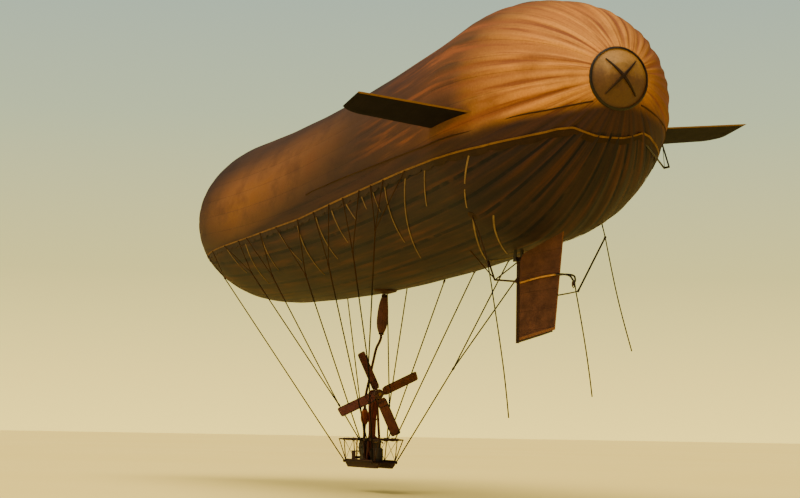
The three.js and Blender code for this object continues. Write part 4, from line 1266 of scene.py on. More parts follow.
def cylinder(x):
    """A cylinder barrel. Its steps are shares of the height, with the cooling fins between them."""
    steps = [(0.0, 0.048), (0.08, 0.048), (0.081, BARREL)]
    for i in range(COOLING_FINS):
        middle = 0.14 + 0.66 * i / (COOLING_FINS - 1)
        fin = ((-0.018, BARREL), (-0.012, FIN_EDGE), (0.012, FIN_EDGE), (0.018, BARREL))
        steps += [(middle + shift, radius) for shift, radius in fin]
    steps += [(0.86, BARREL), (0.87, 0.044), (0.94, 0.042), (1.0, 0.026)]
    height = CYLINDER_HEAD - CYLINDER_FOOT
    sizes = [(share * height, radius) for share, radius in steps]
    return turned("cylinder", Vector((x, 0, CYLINDER_FOOT)), UP, sizes, 24, 35)


crankcase = board("crankcase", (-0.31, -0.070, -5.882), (0.21, 0.070, -5.61), 0.022)
foot_flange = board("flange", (-0.305, -0.075, -5.8997), (0.205, 0.075, FLANGE_TOP), 0.004)
boss = turned("boss", Vector((0, 0, -5.75)), AHEAD, ((0.20, 0.034), (0.235, 0.030), (0.2398, 0.028)), 20, 50)
engine = joined("engine_castings", [crankcase, foot_flange, boss] + [cylinder(x) for x in CYLINDER_XS])
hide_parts("engine")
tell(engine)

# %% Add the engine's pipes and bolts
EXHAUST_Y, EXHAUST_Z = -0.064, -5.475
exhaust_line = [(-0.29, -0.062, -5.50)] + [(x, EXHAUST_Y, EXHAUST_Z) for x in np.linspace(-0.24, 0.14, 8)]
inlet_line = [(x, 0.060, -5.480 - 0.008 * abs(x + 0.05)) for x in np.linspace(-0.25, 0.15, 6)]
# Each elbow's places across and up, and its radius: one to the exhaust and one from the inlet.
ELBOWS = (
    (((-0.030, -5.470), (-0.050, -5.466), (EXHAUST_Y, EXHAUST_Z)), 0.010),
    (((0.028, -5.472), (0.046, -5.470), (0.060, -5.481)), 0.008),
)
manifolds = [
    tube("exhaust", through(exhaust_line, 3), 0.014, 12),
    tube("inlet", through(inlet_line, 3), 0.010, 12),
]
for x in CYLINDER_XS:
    for places, radius in ELBOWS:
        manifolds.append(tube("elbow", through([(x, y, z) for y, z in places], 4), radius, 10))
plug_steps = ((0.145, 0.016), (0.165, 0.012))
manifolds.append(turned("plug", Vector((0, EXHAUST_Y, EXHAUST_Z)), AHEAD, plug_steps, 12, 50))
engine_pipes = joined("engine_pipes", manifolds)
bearer_bolts = joined("engine_bolts", [
    bolt("bolt", Vector((x, y, FLANGE_TOP)), UP, 0.005, 0.010)
    for x in np.linspace(-0.28, 0.18, 5) for y in (-0.0725, 0.0725)
])
tell(engine_pipes, bearer_bolts)

# %% [markdown]
# ## Tank, blower and drive case
# The tank is riveted from enamelled sheet, with two brass bands and a red enamelled cap. The blower's drum
# has rolled rims, ribs like the spokes of a wheel and a bearing cap. The drive case is bolted together round
# its edge.

# %% Dress the tank
TANK, TANK_RADIUS = Vector((0.480, -0.084, 0)), 0.125


def hoop(name, middle, axis, radius, thickness, sides=40):
    """A closed ring."""
    deselect()
    turn = axis.to_track_quat("Z", "Y").to_euler()
    bpy.ops.mesh.primitive_torus_add(
        major_segments=sides, minor_segments=8, major_radius=radius, minor_radius=thickness,
        location=middle, rotation=turn)
    piece = settled(name)
    smooth(piece, 60)
    return piece


tank_bands = joined("tank_bands", [
    hoop("band", TANK + z * UP, UP, TANK_RADIUS + 0.0005, 0.004) for z in (-5.80, -5.79, -5.53, -5.52)
])
cap_steps = ((-5.330, 0.030), (-5.318, 0.030), (-5.317, 0.022), (-5.302, 0.022), (-5.298, 0.018))
tank_cap = turned("tank_cap", TANK, UP, cap_steps)
tank_pipe = tube("tank_pipe", through([
    (0.372, -0.105, -5.83), (0.345, -0.105, -5.83), (0.325, -0.10, -5.80), (0.325, -0.085, -5.62),
    (0.30, -0.075, -5.52), (0.22, -0.066, -5.487), (0.165, -0.064, -5.480),
], 5), 0.004)
tell(tank_bands, tank_cap, tank_pipe)

# %% Dress the blower and the drive case
BLOWER = Vector((0.420, 0.135, -5.600))
blower_iron = []
for side in (-1, 1):
    face = BLOWER + 0.0555 * side * ACROSS
    blower_iron += [
        hoop("rim", BLOWER + 0.055 * side * ACROSS, ACROSS, 0.194, 0.006, 48),
        hoop("eye", face, ACROSS, 0.075, 0.005, 32),
    ]
    for a in turns_of(6):
        way = Vector((math.cos(a), 0, math.sin(a)))
        blower_iron.append(tube("rib", [face + 0.076 * way, face + 0.188 * way], [0.006, 0.005], 6))
    blower_iron.append(bolt("cap", face, side * ACROSS, 0.020, 0.016, 16))
blower_iron = joined("blower_ribs", blower_iron)

# The drive case: its face, then the height and rounding of its two ends, where its two shafts pass.
CASE_X = 0.3103
CASE_TOP, CASE_TOP_ROUND = -4.415, 0.086
CASE_FOOT, CASE_FOOT_ROUND = -5.750, 0.047
case_places = []
for z, rounding, start, count in ((CASE_TOP, CASE_TOP_ROUND, 0, 7), (CASE_FOOT, CASE_FOOT_ROUND, math.pi, 5)):
    angles = np.linspace(start, start + math.pi, count)
    case_places += [(rounding * math.cos(a), z + rounding * math.sin(a)) for a in angles]
for share in np.linspace(0.14, 0.86, 6):
    half = CASE_TOP_ROUND + (CASE_FOOT_ROUND - CASE_TOP_ROUND) * share
    case_places += [(side * half, CASE_TOP + (CASE_FOOT - CASE_TOP) * share) for side in (-1, 1)]
case_iron = [bolt("bolt", Vector((CASE_X, y, z)), AHEAD, 0.005, 0.008) for y, z in case_places]
for z, radius in ((CASE_TOP, 0.055), (CASE_FOOT, 0.032)):
    steps = ((0, 1), (0.010, 1), (0.012, 0.8), (0.020, 0.74), (0.024, 0.3))
    case_iron.append(turned("cover", Vector((CASE_X, 0, z)), AHEAD, [(x, k * radius) for x, k in steps], 24))
case_iron = joined("drive_case_fittings", case_iron)
tell(blower_iron, case_iron)

# %% [markdown]
# ## The propeller
# Four plain paddles of sheet and ash turn behind the mast. Each is a flat board with a rounded face, bound
# in iron round its edge and clamped to the hub by two straps. One paddle is made upright, pitched, leaned
# and moved to the hub as the frame's is, and the others are copies a quarter of a turn on.

# %% Make the paddles
HUB = Vector((-0.120, 0, -4.415))
PADDLE_ROOT, PADDLE_TIP = 0.116, 0.990
PADDLE_HALF, PADDLE_THICKNESS = 0.1025, 0.016
PITCH, LEAN = 0.42, -0.45


def paddle_half_width(reach):
    shoulder = min(1.0, (reach - PADDLE_ROOT) / 0.07)
    tip = max(0.0, (reach - (PADDLE_TIP - 0.034)) / 0.034)
    return PADDLE_HALF * (0.72 + 0.28 * shoulder) * (1 - 0.24 * tip ** 2.5)


def set_on_hub(number):
    turn = LEAN + number * math.pi / 2
    return (Matrix.Translation(HUB) @ Matrix.Rotation(math.pi / 2 + turn, 4, "X")
            @ Matrix.Rotation(math.pi / 2 + PITCH, 4, "Y"))


# One face of a paddle's section, from edge to edge, in shares of its half width and its half thickness.
PADDLE_FACE = ((-1, 0), (-0.97, 0.6), (-0.6, 1), (0, 1.15), (0.6, 1), (0.97, 0.6), (1, 0))
PADDLE_SECTION = PADDLE_FACE + tuple((-x, -z) for x, z in PADDLE_FACE[1:-1])
STRAP_REACHES = (0.19, 0.30)


def paddle(number):
    """One paddle's board, its iron and its spar, set on the hub."""
    place = set_on_hub(number)
    facing_way = place.to_3x3()
    reaches = [PADDLE_ROOT, PADDLE_ROOT + 0.035, PADDLE_ROOT + 0.07, *np.linspace(0.24, 0.95, 12)]
    reaches += [0.962, 0.972, 0.981, 0.987, PADDLE_TIP]
    rings = []
    for reach in reaches:
        half, thick = paddle_half_width(reach), 0.5 * PADDLE_THICKNESS
        rings.append([place @ Vector((x * half, reach, z * thick)) for x, z in PADDLE_SECTION])
    blade = lofted(f"paddle_{number + 1}", rings, 30)
    edge = [(-paddle_half_width(r), r, 0) for r in reaches]
    edge += [(-x, r, 0) for x, r, _ in edge[::-1]]
    iron = [tube("binding", [place @ Vector(p) for p in edge], 0.0105)]
    for reach in STRAP_REACHES:
        half = paddle_half_width(reach) + 0.004
        for side in (-1, 1):
            corners = [place @ Vector((x, reach, side * 0.0115)) for x in (-half, 0, half)]
            iron.append(tube("strap", corners, 0.0075))
            for x in (-0.05, 0.05):
                head = place @ Vector((x, reach, side * 0.016))
                iron.append(bolt("bolt", head, facing_way @ (side * UP), 0.006, 0.009))
    spar_steps = ((0.106, 0.022), (0.20, 0.020), (0.45, 0.015), (0.70, 0.008))
    spar = turned(f"paddle_spar_{number + 1}", place.translation, facing_way @ ACROSS, spar_steps, 12, 50)
    return blade, joined(f"paddle_iron_{number + 1}", iron), spar


paddles = [paddle(number) for number in range(4)]
for number, (blade, _, _) in enumerate(paddles, 1):
    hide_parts(f"propeller_blade_{number}")

tell(*paddles[0])

# %% Dress the hub
hub_bolts = joined("hub_bolts", [
    bolt("bolt", HUB + Vector((-0.050, 0.082 * math.cos(a), 0.082 * math.sin(a))), -AHEAD, 0.007, 0.012)
    for a in turns_of(8)
])
nut_steps = ((-0.094, 0.040), (-0.100, 0.040), (-0.101, 0.030), (-0.112, 0.028), (-0.116, 0.018))
hub_nut = turned("hub_nut", HUB, AHEAD, nut_steps, 20)
bearing_ring = joined("shaft_bearing", [
    hoop("ring", Vector((x, 0, HUB.z)), AHEAD, 0.060, 0.010, 32) for x in (-0.006, 0.10, 0.225)
])
tell(hub_bolts, hub_nut, bearing_ring)

# %% [markdown]
# ## Lashings and straps
# Each rope fan starts at a wooden toggle. On the rail it is held by lashings that go round both, and at the
# floor by iron straps. The rails' joints are bound with cord too. All of them are tubes round a path.

# %% Lash the toggles
RAIL = Vector((0, 0.275, -5.42))
RAIL_TOGGLE = Vector((0, 0.3262, -5.42))
FLOOR_TOGGLE = Vector((0, 0.2712, -5.915))


RAIL_RADIUS, RAIL_END_RADIUS, TOGGLE_RADIUS = 0.030, 0.023, 0.022
RAIL_TURNS = 3


def round_both(name, x, cord):
    """Turns of cord round the rail and the toggle that lies beside it."""
    line = []
    for t in np.linspace(0, RAIL_TURNS, 24 * RAIL_TURNS + 1):
        a = 2 * math.pi * t
        centre, radius = (RAIL_TOGGLE, TOGGLE_RADIUS) if math.cos(a) > 0 else (RAIL, RAIL_RADIUS)
        shift = (t - RAIL_TURNS / 2) * TURN_PITCH * cord
        reach = radius + cord
        line.append(Vector((x + shift, centre.y + reach * math.cos(a), centre.z + reach * math.sin(a))))
    return tube(name, line, cord, 6)


lashings = [round_both("lashing", x, 0.005) for x in (0.115, 0.205, -0.350, -0.310)]
for share in (-1.032, -0.34, 0.34, 1.032):
    rail_radius = RAIL_RADIUS if abs(share) < 0.8 else RAIL_END_RADIUS
    lashings.append(lashing("lashing", Vector((0.4 + share, RAIL.y, RAIL.z)), AHEAD, rail_radius, 5, 0.004))
toggle_lashings_port = joined("toggle_lashings_port", lashings)
toggle_lashings_starboard = mirrored(toggle_lashings_port, "toggle_lashings_starboard")
tell(toggle_lashings_port, toggle_lashings_starboard)

# %% Strap the floor's toggles
straps = []
for x in (1.367, 1.403, -0.603, -0.567):
    bend = [(0.025 * math.cos(a), 0.025 * math.sin(a)) for a in np.linspace(1.5, -1.5, 9)]
    line = [FLOOR_TOGGLE + Vector((x, y, z)) for y, z in [(-0.022, 0.024), *bend, (-0.022, -0.024)]]
    straps.append(tube("strap", line, 0.0035, 6))
toggle_straps_port = joined("toggle_straps_port", straps)
toggle_straps_starboard = mirrored(toggle_straps_port, "toggle_straps_starboard")
tell(toggle_straps_port, toggle_straps_starboard)

# %% [markdown]
# ## Ropes of the car
# The car hangs on fans of three-strand rope. Each fan starts at a turned wooden toggle, and each rope parts
# near the hull into a bridle whose legs are knotted to the belt. One turn of the lay is modelled once, a
# tube with three lobes that twists once round. Array repeats it, and the points are then laid between the
# rope's two ends. The lay of the real rope is 45 mm long, and is drawn at 120 mm so that it shows.

# %% Lay up the rope
LAY = 0.12
LAY_RINGS = 8
ROPE_RADIUS, LEG_RADIUS = 0.016, 0.011


def one_turn_of_lay():
    """One turn of rope of radius 1, a lay long, along X and open at both ends."""
    rings = []
    for i in range(LAY_RINGS + 1):
        turns = [2 * math.pi * i / LAY_RINGS + k * math.pi / 3 for k in range(6)]
        lobes = zip(turns, [1.06, 0.80] * 3)
        rings.append([(LAY * i / LAY_RINGS, r * math.cos(a), r * math.sin(a)) for a, r in lobes])
    turn = lofted("rope_turn", rings, 80)
    bpy.ops.object.mode_set(mode="EDIT")
    bpy.ops.mesh.select_all(action="DESELECT")
    bpy.ops.mesh.select_mode(type="FACE")
    bpy.ops.object.mode_set(mode="OBJECT")
    for face in turn.data.polygons:
        face.select = len(face.vertices) == 6
    bpy.ops.object.mode_set(mode="EDIT")
    bpy.ops.mesh.delete(type="ONLY_FACE")
    bpy.ops.mesh.select_mode(type="VERT")
    bpy.ops.object.mode_set(mode="OBJECT")
    return turn


def laid_rope(name, start, end, radius):
    """A rope between two places: turns of the lay end to end, closed, and laid along the line."""
    rope = copied(ROPE_TURN, name)
    length = (end - start).length
    modified(
        rope, "ARRAY", count=max(round(length / LAY), 2), use_relative_offset=False, use_constant_offset=True,
        constant_offset_displace=(LAY, 0, 0), use_merge_vertices=True, merge_threshold=0.001)
    edited(rope, bpy.ops.mesh.fill_holes, sides=0)
    ahead = (end - start).normalized()
    across, third = square_to(ahead)
    made = points_of(rope)
    way = np.array([tuple(ahead), tuple(radius * across), tuple(radius * third)])
    made[:, 0] *= length / made[:, 0].max()
    move_points(rope, made @ way + np.array(tuple(start)))
    return rope


ROPE_TURN = one_turn_of_lay()
tell(ROPE_TURN)

# %% Rig the fans
BRIDLE_LENGTH = 1.2
TOGGLE_PITCH = 0.06
# For each fan: the toggle's station and seat, then its strands. A strand is the share at which it parts, and
# for each rope the station that it points to on the belt and the stations of its bridle's legs.
ROPE_FANS = {
    "ropes_1": (1.385, FLOOR_TOGGLE, [(0.0, [(8.45, (8.9, 7.7))])]),
    "ropes_2": (0.160, RAIL_TOGGLE, [
        (0.16, [(5.35, (6.15, 4.7)), (3.4, (3.9, 2.65))]), (0.0, [(0.25, (1.25, -0.45))]),
    ]),
    "ropes_3": (-0.330, RAIL_TOGGLE, [(0.0, [(-1.9, (-1.65, -2.75))])]),
    "ropes_4": (-0.585, FLOOR_TOGGLE, [(0.38, [(-3.85, (-3.675, -4.7)), (-5.8, (-5.4, -6.1, -7.25))])]),
}


def on_belt(x):
    return on_hull(x, float(belt_height(x)), 0.032)


def splice(middle, ahead, radius):
    """A splice served with twine: a short swelling along the rope."""
    shares = (-1, -0.6, -0.2, 0.2, 0.6, 1)
    line = [middle + 0.05 * share * ahead.normalized() for share in shares]
    return tube("splice", line, [radius * k for k in (0.7, 1.1, 1.3, 1.3, 1.1, 0.7)], 10)


def rope_to(start, stop):
    """A rope that ends in a splice."""
    return [laid_rope("rope", start, stop, ROPE_RADIUS), splice(stop, stop - start, 1.2 * ROPE_RADIUS)]


print("legs on the belt to port:", sum(
    len(legs) for _, _, strands in ROPE_FANS.values() for _, ropes in strands for _, legs in ropes))

# %% Hang the fans
rope_fans, toggles = [], []
for name, (bar_x, seat, strands) in ROPE_FANS.items():
    middle = Vector((bar_x, seat.y, seat.z))
    reach = (len(strands) - 1) / 2 * TOGGLE_PITCH
    end = reach + 0.03
    toggle_steps = [
        (-end, 0.014), (0.004 - end, 0.020), (0.012 - end, 0.022), (-0.3 * end, 0.0215),
        (0.3 * end, 0.0215), (end - 0.012, 0.022), (end - 0.004, 0.020), (end, 0.014),
    ]
    toggles.append(turned("toggle", middle, AHEAD, toggle_steps, degrees=50))
    parts = []
    for i, (parting, ropes) in enumerate(strands):
        foot = middle + (reach - i * TOGGLE_PITCH) * AHEAD
        tops = [on_belt(aim) for aim, _ in ropes]
        joint = foot.lerp(sum(tops, Vector()) / len(tops), parting)
        parts.append(lashing("eye", foot, AHEAD, 0.0215, 3, 0.006))
        if parting:
            parts += rope_to(foot, joint)
        for top, (_, legs) in zip(tops, ropes):
            fork = top + (joint - top).normalized() * BRIDLE_LENGTH
            parts += rope_to(joint, fork)
            for x in legs:
                parts.append(laid_rope("leg", fork, on_belt(x), LEG_RADIUS))
                parts.append(flat_ball("knot", on_belt(x), (0.017, 0.015, 0.017), 10))
    fan = joined(name + "_laid_port", parts)
    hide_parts(name + "_port")
    other = mirrored(fan, name + "_laid_starboard")
    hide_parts(name + "_starboard")
    rope_fans += [fan, other]
    print(name, len(fan.data.polygons), "faces")
bpy.data.objects.remove(ROPE_TURN)
toggles_port = joined("rope_toggles_port", toggles)
toggles_starboard = mirrored(toggles_port, "rope_toggles_starboard")
tell(toggles_port, toggles_starboard)

# %% [markdown]
# ## The air hose
# A canvas hose over a wire helix carries the air from the blower's bag up to the sleeve, clear of the
# propeller. It is a tube whose radius swells over each turn of the wire.

# %% Make the hose
HOSE_RADIUS, WIRE_PITCH = 0.030, 0.036


def hose(name, route):
    line = [Vector(p) for p in spaced(through(route, 8), WIRE_PITCH / 2)]
    radii = [HOSE_RADIUS * (1.03 if i % 2 else 0.9) for i in range(len(line))]
    return tube(name, line, radii, 14, 60)


duct_ahead = (DUCT_FOOT - DUCT_TOP).normalized()
UPPER_HOSE = [
    DUCT_FOOT + 0.001 * duct_ahead, DUCT_FOOT + 0.08 * duct_ahead, (-0.115, 0.010, -3.285),
    (0.005, 0.035, -3.420), (0.105, 0.070, -3.720), (0.210, 0.110, -4.080), (0.320, 0.150, -4.450), SAC_TOP,
]
air_hose = joined("air_hose", [
    hose("upper_hose", UPPER_HOSE),
    hose("lower_hose", [SAC_FOOT, (0.420, 0.135, -5.250), (0.420, 0.135, -5.400)]),
])
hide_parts("air_pipe")
CAP_X, CAP_REACH = -0.036, 0.122
cap_arc = [
    Vector((CAP_X, CAP_REACH * math.cos(a), HUB.z + CAP_REACH * math.sin(a)))
    for a in np.linspace(-2.9, -0.25, 15).tolist()
]
bearing_cap = tube("bearing_cap", cap_arc, [0.006] + [0.015] * 13 + [0.006], 10)
tell(air_hose, bearing_cap)

# %% [markdown]
# ## Finishes of wood, iron, rope and paint
# The car and the spars are ash, steamed and varnished, with the grain along each bar. Fittings are iron
# under black japan, worn at the edges. Ropes are tarred hemp, laid from three strands. The blades are
# sheet metal in red-brown paint.

# %% Ash
def ash(name, light, dark, along=(0.6, 14, 14), roughness=0.5):
    """Varnished ash: long darker grain along one axis. The real grain is 3 mm apart, drawn at 12 mm."""
    finish, tree = new_finish(name, Roughness=roughness, Specular_IOR_Level=0.2)
    place = object_place(tree, along)
    grain = noise(tree, place, 6, 4, 0.65)
    links = {"Vector": place, "Scale": 1.4, "Distortion": 6, "Detail": 3}
    rings = add_node(tree, "TexWave", links).outputs[1]
    wood = ramp(tree, grain, [(0.3, dark), (0.65, light)])
    wood = darkened(tree, 0.3, wood, rings, 0.0, "#6d5a42", 1.0)
    stain = noise(tree, object_place(tree), 1.6, 3, 0.6)
    wood = blend_colours(tree, ramp_value(tree, stain, 0.5, 0.8), wood, srgb(dark))
    return coloured(finish, wood, grain, 0.3, 0.002)


ASH = ash("varnished_ash", "#40220f", "#1d0e07", roughness=0.65)
MAST_ASH = ash("stained_ash", "#5e2c17", "#33170b", along=(14, 14, 0.6), roughness=0.65)
DARK_BOARDS = ash("oiled_ash_boards", "#2c1711", "#150a07", roughness=0.75)
DARK_SPAR = ash("stained_spar", "#2e1c10", "#160d07")
told(ASH, MAST_ASH, DARK_BOARDS, DARK_SPAR)

# %% Iron, brass and paint
def japan(name, base, edge, roughness=0.38, metallic=0.35):
    """Stoving enamel: glossy where it is whole, paler or browner and dull where it is worn."""
    finish, tree = new_finish(
        name, Metallic=metallic, Specular_IOR_Level=0.3, Coat_Weight=0.08, Coat_Roughness=0.25)
    place = object_place(tree)
    patches = noise(tree, place, 5, 5, 0.65)
    fine = noise(tree, place, 60, 2, 0.5)
    rough = add_node(tree, "MapRange", {0: patches, 1: 0.3, 2: 0.7, 3: roughness, 4: roughness + 0.25})
    paint = ramp(tree, patches, [(0.45, base), (0.78, edge)])
    tree.links.new(rough.outputs[0], tree.nodes["Principled BSDF"].inputs["Roughness"])
    return coloured(finish, paint, fine, 0.25, 0.001)


IRON = japan("black_japanned_iron", "#16120e", "#3b2a1c")
ENGINE_IRON = japan("cast_iron_grey", "#2c2824", "#514434", 0.5, 0.5)
ENAMEL = japan("red_brown_enamel", "#6e2c18", "#431b0f", 0.4, 0.0)
BRASS = japan("dull_brass", "#8a6a34", "#5e4624", 0.35, 0.9)
BLADE_PAINT = japan("red_brown_blade_paint", "#572816", "#34180f", 0.6, 0.0)
HUB_ENAMEL = japan("brown_hub_enamel", "#4c2c1c", "#2e1a10", 0.5, 0.0)
told(IRON, ENGINE_IRON, ENAMEL, BRASS, BLADE_PAINT, HUB_ENAMEL)


# %% Tarred hemp
# Above these heights the rope is painted paler: a painted highlight on the ropes near the hull.
HIGHLIGHT_FROM, HIGHLIGHT_ABOVE, DRAWN_LAY = -2.5, -2.0, 0.05


def hemp(name, light, dark, served):
    """Tarred three-strand rope, its lay drawn as slanting bands. Near the hull it is painted paler, a painted
    highlight.
    """
    finish, tree = new_finish(name, Roughness=0.9, Specular_IOR_Level=0.15)
    place = object_place(tree)
    x, y, z = parts_of(tree, place)
    slant = maths(tree, "MULTIPLY_ADD", x, 3.0, maths(tree, "MULTIPLY_ADD", y, 3.0, z))
    strands = bands(tree, slant, DRAWN_LAY)
    fibres = noise(tree, place, 55, 3, 0.6)
    shade = maths(tree, "ADD", strands, maths(tree, "MULTIPLY_ADD", fibres, 0.5, -0.25))
    rope = ramp(tree, shade, [(0.05, dark), (0.5, light)])
    # The paler colour near the hull, passed in as served, is a painted highlight.
    rope = blend_colours(tree, ramp_value(tree, z, HIGHLIGHT_FROM, HIGHLIGHT_ABOVE), rope, srgb(served))
    return coloured(finish, rope, maths(tree, "ADD", strands, fibres), 0.5, 0.004)


HEMP = hemp("tarred_hemp", "#1d1812", "#0b0907", "#33200f")
told(HEMP)

# %% Stretched cloth
def off_line(tree, first, second, start, end):
    """How far a place lies from a straight line, in the plane of two of its coordinates."""
    length = math.dist(start, end)
    run, rise = (end[0] - start[0]) / length, (end[1] - start[1]) / length
    partly = maths(tree, "MULTIPLY_ADD", first, rise, start[1] * run - start[0] * rise)
    return maths(tree, "ABSOLUTE", maths(tree, "MULTIPLY_ADD", second, -run, partly))


def stretched(name, codes, edges, bay, axis, gloss=0.1):
    """Cloth doped over ribs that follow one another along an axis. Edges are tapes: line, width, colour."""
    light, dark, glow = codes
    finish, tree = new_finish(name, Roughness=0.75, Specular_IOR_Level=gloss)
    place = object_place(tree)
    parts = parts_of(tree, place)
    grime = noise(tree, object_place(tree, (1, 1, 2.2)), 2.2, 5, 0.65)
    fine = noise(tree, place, 42, 3, 0.6)
    cloth = ramp(tree, grime, [(0.32, dark), (0.62, light), (0.85, glow)])
    rib = ramp_value(tree, bands(tree, parts[axis], bay), 0.035, 0.0)
    cloth = blend_colours(tree, maths(tree, "MULTIPLY", rib, 0.5), cloth, srgb(dark))
    across = maths(tree, "ABSOLUTE", parts[axis])
    across = maths(tree, "MULTIPLY", across, -1.0) if axis == 2 else across
    for start, end, width, code in edges:
        taped = maths(tree, "LESS_THAN", off_line(tree, parts[0], across, start, end), width)
        cloth = blend_colours(tree, maths(tree, "MULTIPLY", taped, 0.85), cloth, srgb(code))
    cloth = darkened(tree, 0.3, cloth, fine, 0.35, "#8a8378", 0.65)
    height = maths(tree, "MULTIPLY_ADD", fine, 0.15, rib)
    return coloured(finish, cloth, height, 0.5, 0.004)


FIN_CLOTH = stretched(
    "doped_linen_dark", ("#16121a", "#0f0c13", "#1e171c"), [(*FIN_TRAIL, 0.07, "#7d5a30")],
    (FIN_TIP - FIN_ROOT) / FIN_BAYS, axis=1, gloss=0.04)
RUDDER_CLOTH = stretched(
    "doped_linen_red_brown", ("#5c3a2c", "#3f2720", "#704531"),
    [(*RUDDER_FOOT, 0.052, "#7d5234"), (RUDDER_FOOT[1], RUDDER_TOP[0], 0.030, "#77492c")],
    1.7 / RUDDER_BAYS, axis=2)
told(FIN_CLOTH, RUDDER_CLOTH)

# %% Give the frame's own nodes their finishes
SLEEVE_CANVAS = woven("brown_canvas", ("#37241f", "#603c34"), 0.016, "#1f1511", 2.5, on_uv=False)
FINISHES = {
    "rubbered_canvas": BALLOON_CLOTH,
    "belt_canvas": PALE_WEBBING,
    "fin_cloth": FIN_CLOTH,
    "rudder_cloth": RUDDER_CLOTH,
    "sleeve_canvas": SLEEVE_CANVAS,
    "hemp_rope": HEMP,
    "ash_wood": ASH,
    "mast_wood": MAST_ASH,
    "dark_iron": IRON,
    "cast_engine": ENGINE_IRON,
    "red_enamel": ENAMEL,
    "brass_fittings": BRASS,
    "blade_paint": BLADE_PAINT,
}
for part in frame["record"]["subparts"]:
    node = nodes[part["node"]]
    node.data.materials.clear()
    node.data.materials.append(FINISHES[part["material_slot"]])
for rope, body in trail_ropes:
    fit(rope, body, HEMP)
for rope in (flank_cord_port, flank_cord_starboard):
    fit(rope, "airframe", HEMP)

# %% [markdown]
# ## Finishes of the new pieces
# A few pieces differ from the frame's own: the floor is oiled dark, the bag over the blower is red-brown,
# and the nut on the shaft is bright metal. Then each new piece gets its finish and the body that it rides on.
# The table also lists the slot in the record that each stands for.

# %% Canvas, leather and golden ash
BAG_CANVAS = woven("red_brown_canvas", ("#4a1f10", "#8a4a20"), 0.014, "#2a1109", 5, on_uv=False)
HOSE_CANVAS = woven("tarred_hose_canvas", ("#2a1810", "#452417"), 0.014, wear="#170d08", on_uv=False)
PATCH_CANVAS = woven("dark_patch_canvas", ("#241509", "#3a2411"), 0.014, wear="#150c06", on_uv=False)


def valve_leather():
    """Varnished leather on the valve's lid, lighter towards the top and dark at its foot: painted light from
    above.
    """
    finish, tree = new_finish("valve_leather_painted_light", Roughness=0.5, Specular_IOR_Level=0.35)
    place = object_place(tree)
    level = parts_of(tree, place)[2]
    stains = noise(tree, place, 5, 4, 0.6)
    level = maths(tree, "MULTIPLY_ADD", maths(tree, "SUBTRACT", stains, 0.5), 0.5, level)
    # Lighter towards the top and darker at the foot: painted light from above, with stains breaking the edge.
    leather = ramp(tree, ramp_value(tree, level, 0.25, 1.0), [
        (0.0, "#4c2f18"), (0.35, "#5c3f20"), (0.75, "#86642f"), (1.0, "#a0763a"),
    ])
    creases = noise(tree, place, 30, 3, 0.6)
    leather = darkened(tree, 0.25, leather, creases, 0.35, "#8a8074", 0.6)
    return coloured(finish, leather, creases, 0.3, 0.003)


def loop_ash():
    """The rudder's loop: bare golden ash over the cloth, and tarred where the rope's turns chafe it."""
    finish, tree = new_finish("golden_ash_loop", Roughness=0.55, Specular_IOR_Level=0.3)
    along = parts_of(tree, object_place(tree))[0]
    grain = noise(tree, object_place(tree, (0.6, 14, 14)), 6, 4, 0.65)
    wood = ramp(tree, grain, [(0.3, "#8f5f24"), (0.65, "#c58c3c")])
    at_ends = (ramp_value(tree, along, clean, tarred) for clean, tarred in ((-9.45, -9.6), (-7.9, -7.75)))
    wood = blend_colours(tree, maths(tree, "ADD", *at_ends, clamp=True), wood, srgb("#17110a"))
    return coloured(finish, wood, grain, 0.3, 0.002)


VALVE_LEATHER, LOOP_ASH = valve_leather(), loop_ash()
for name, finish in (
    ("rope_patch_port", PATCH_CANVAS),
    ("rope_patch_starboard", PATCH_CANVAS),
    ("valve_plate", VALVE_LEATHER),
    ("propeller_hub", HUB_ENAMEL),
    ("rudder_bow", LOOP_ASH),
):
    nodes[name].data.materials[0] = finish
told(BAG_CANVAS, HOSE_CANVAS, PATCH_CANVAS, VALVE_LEATHER, LOOP_ASH)

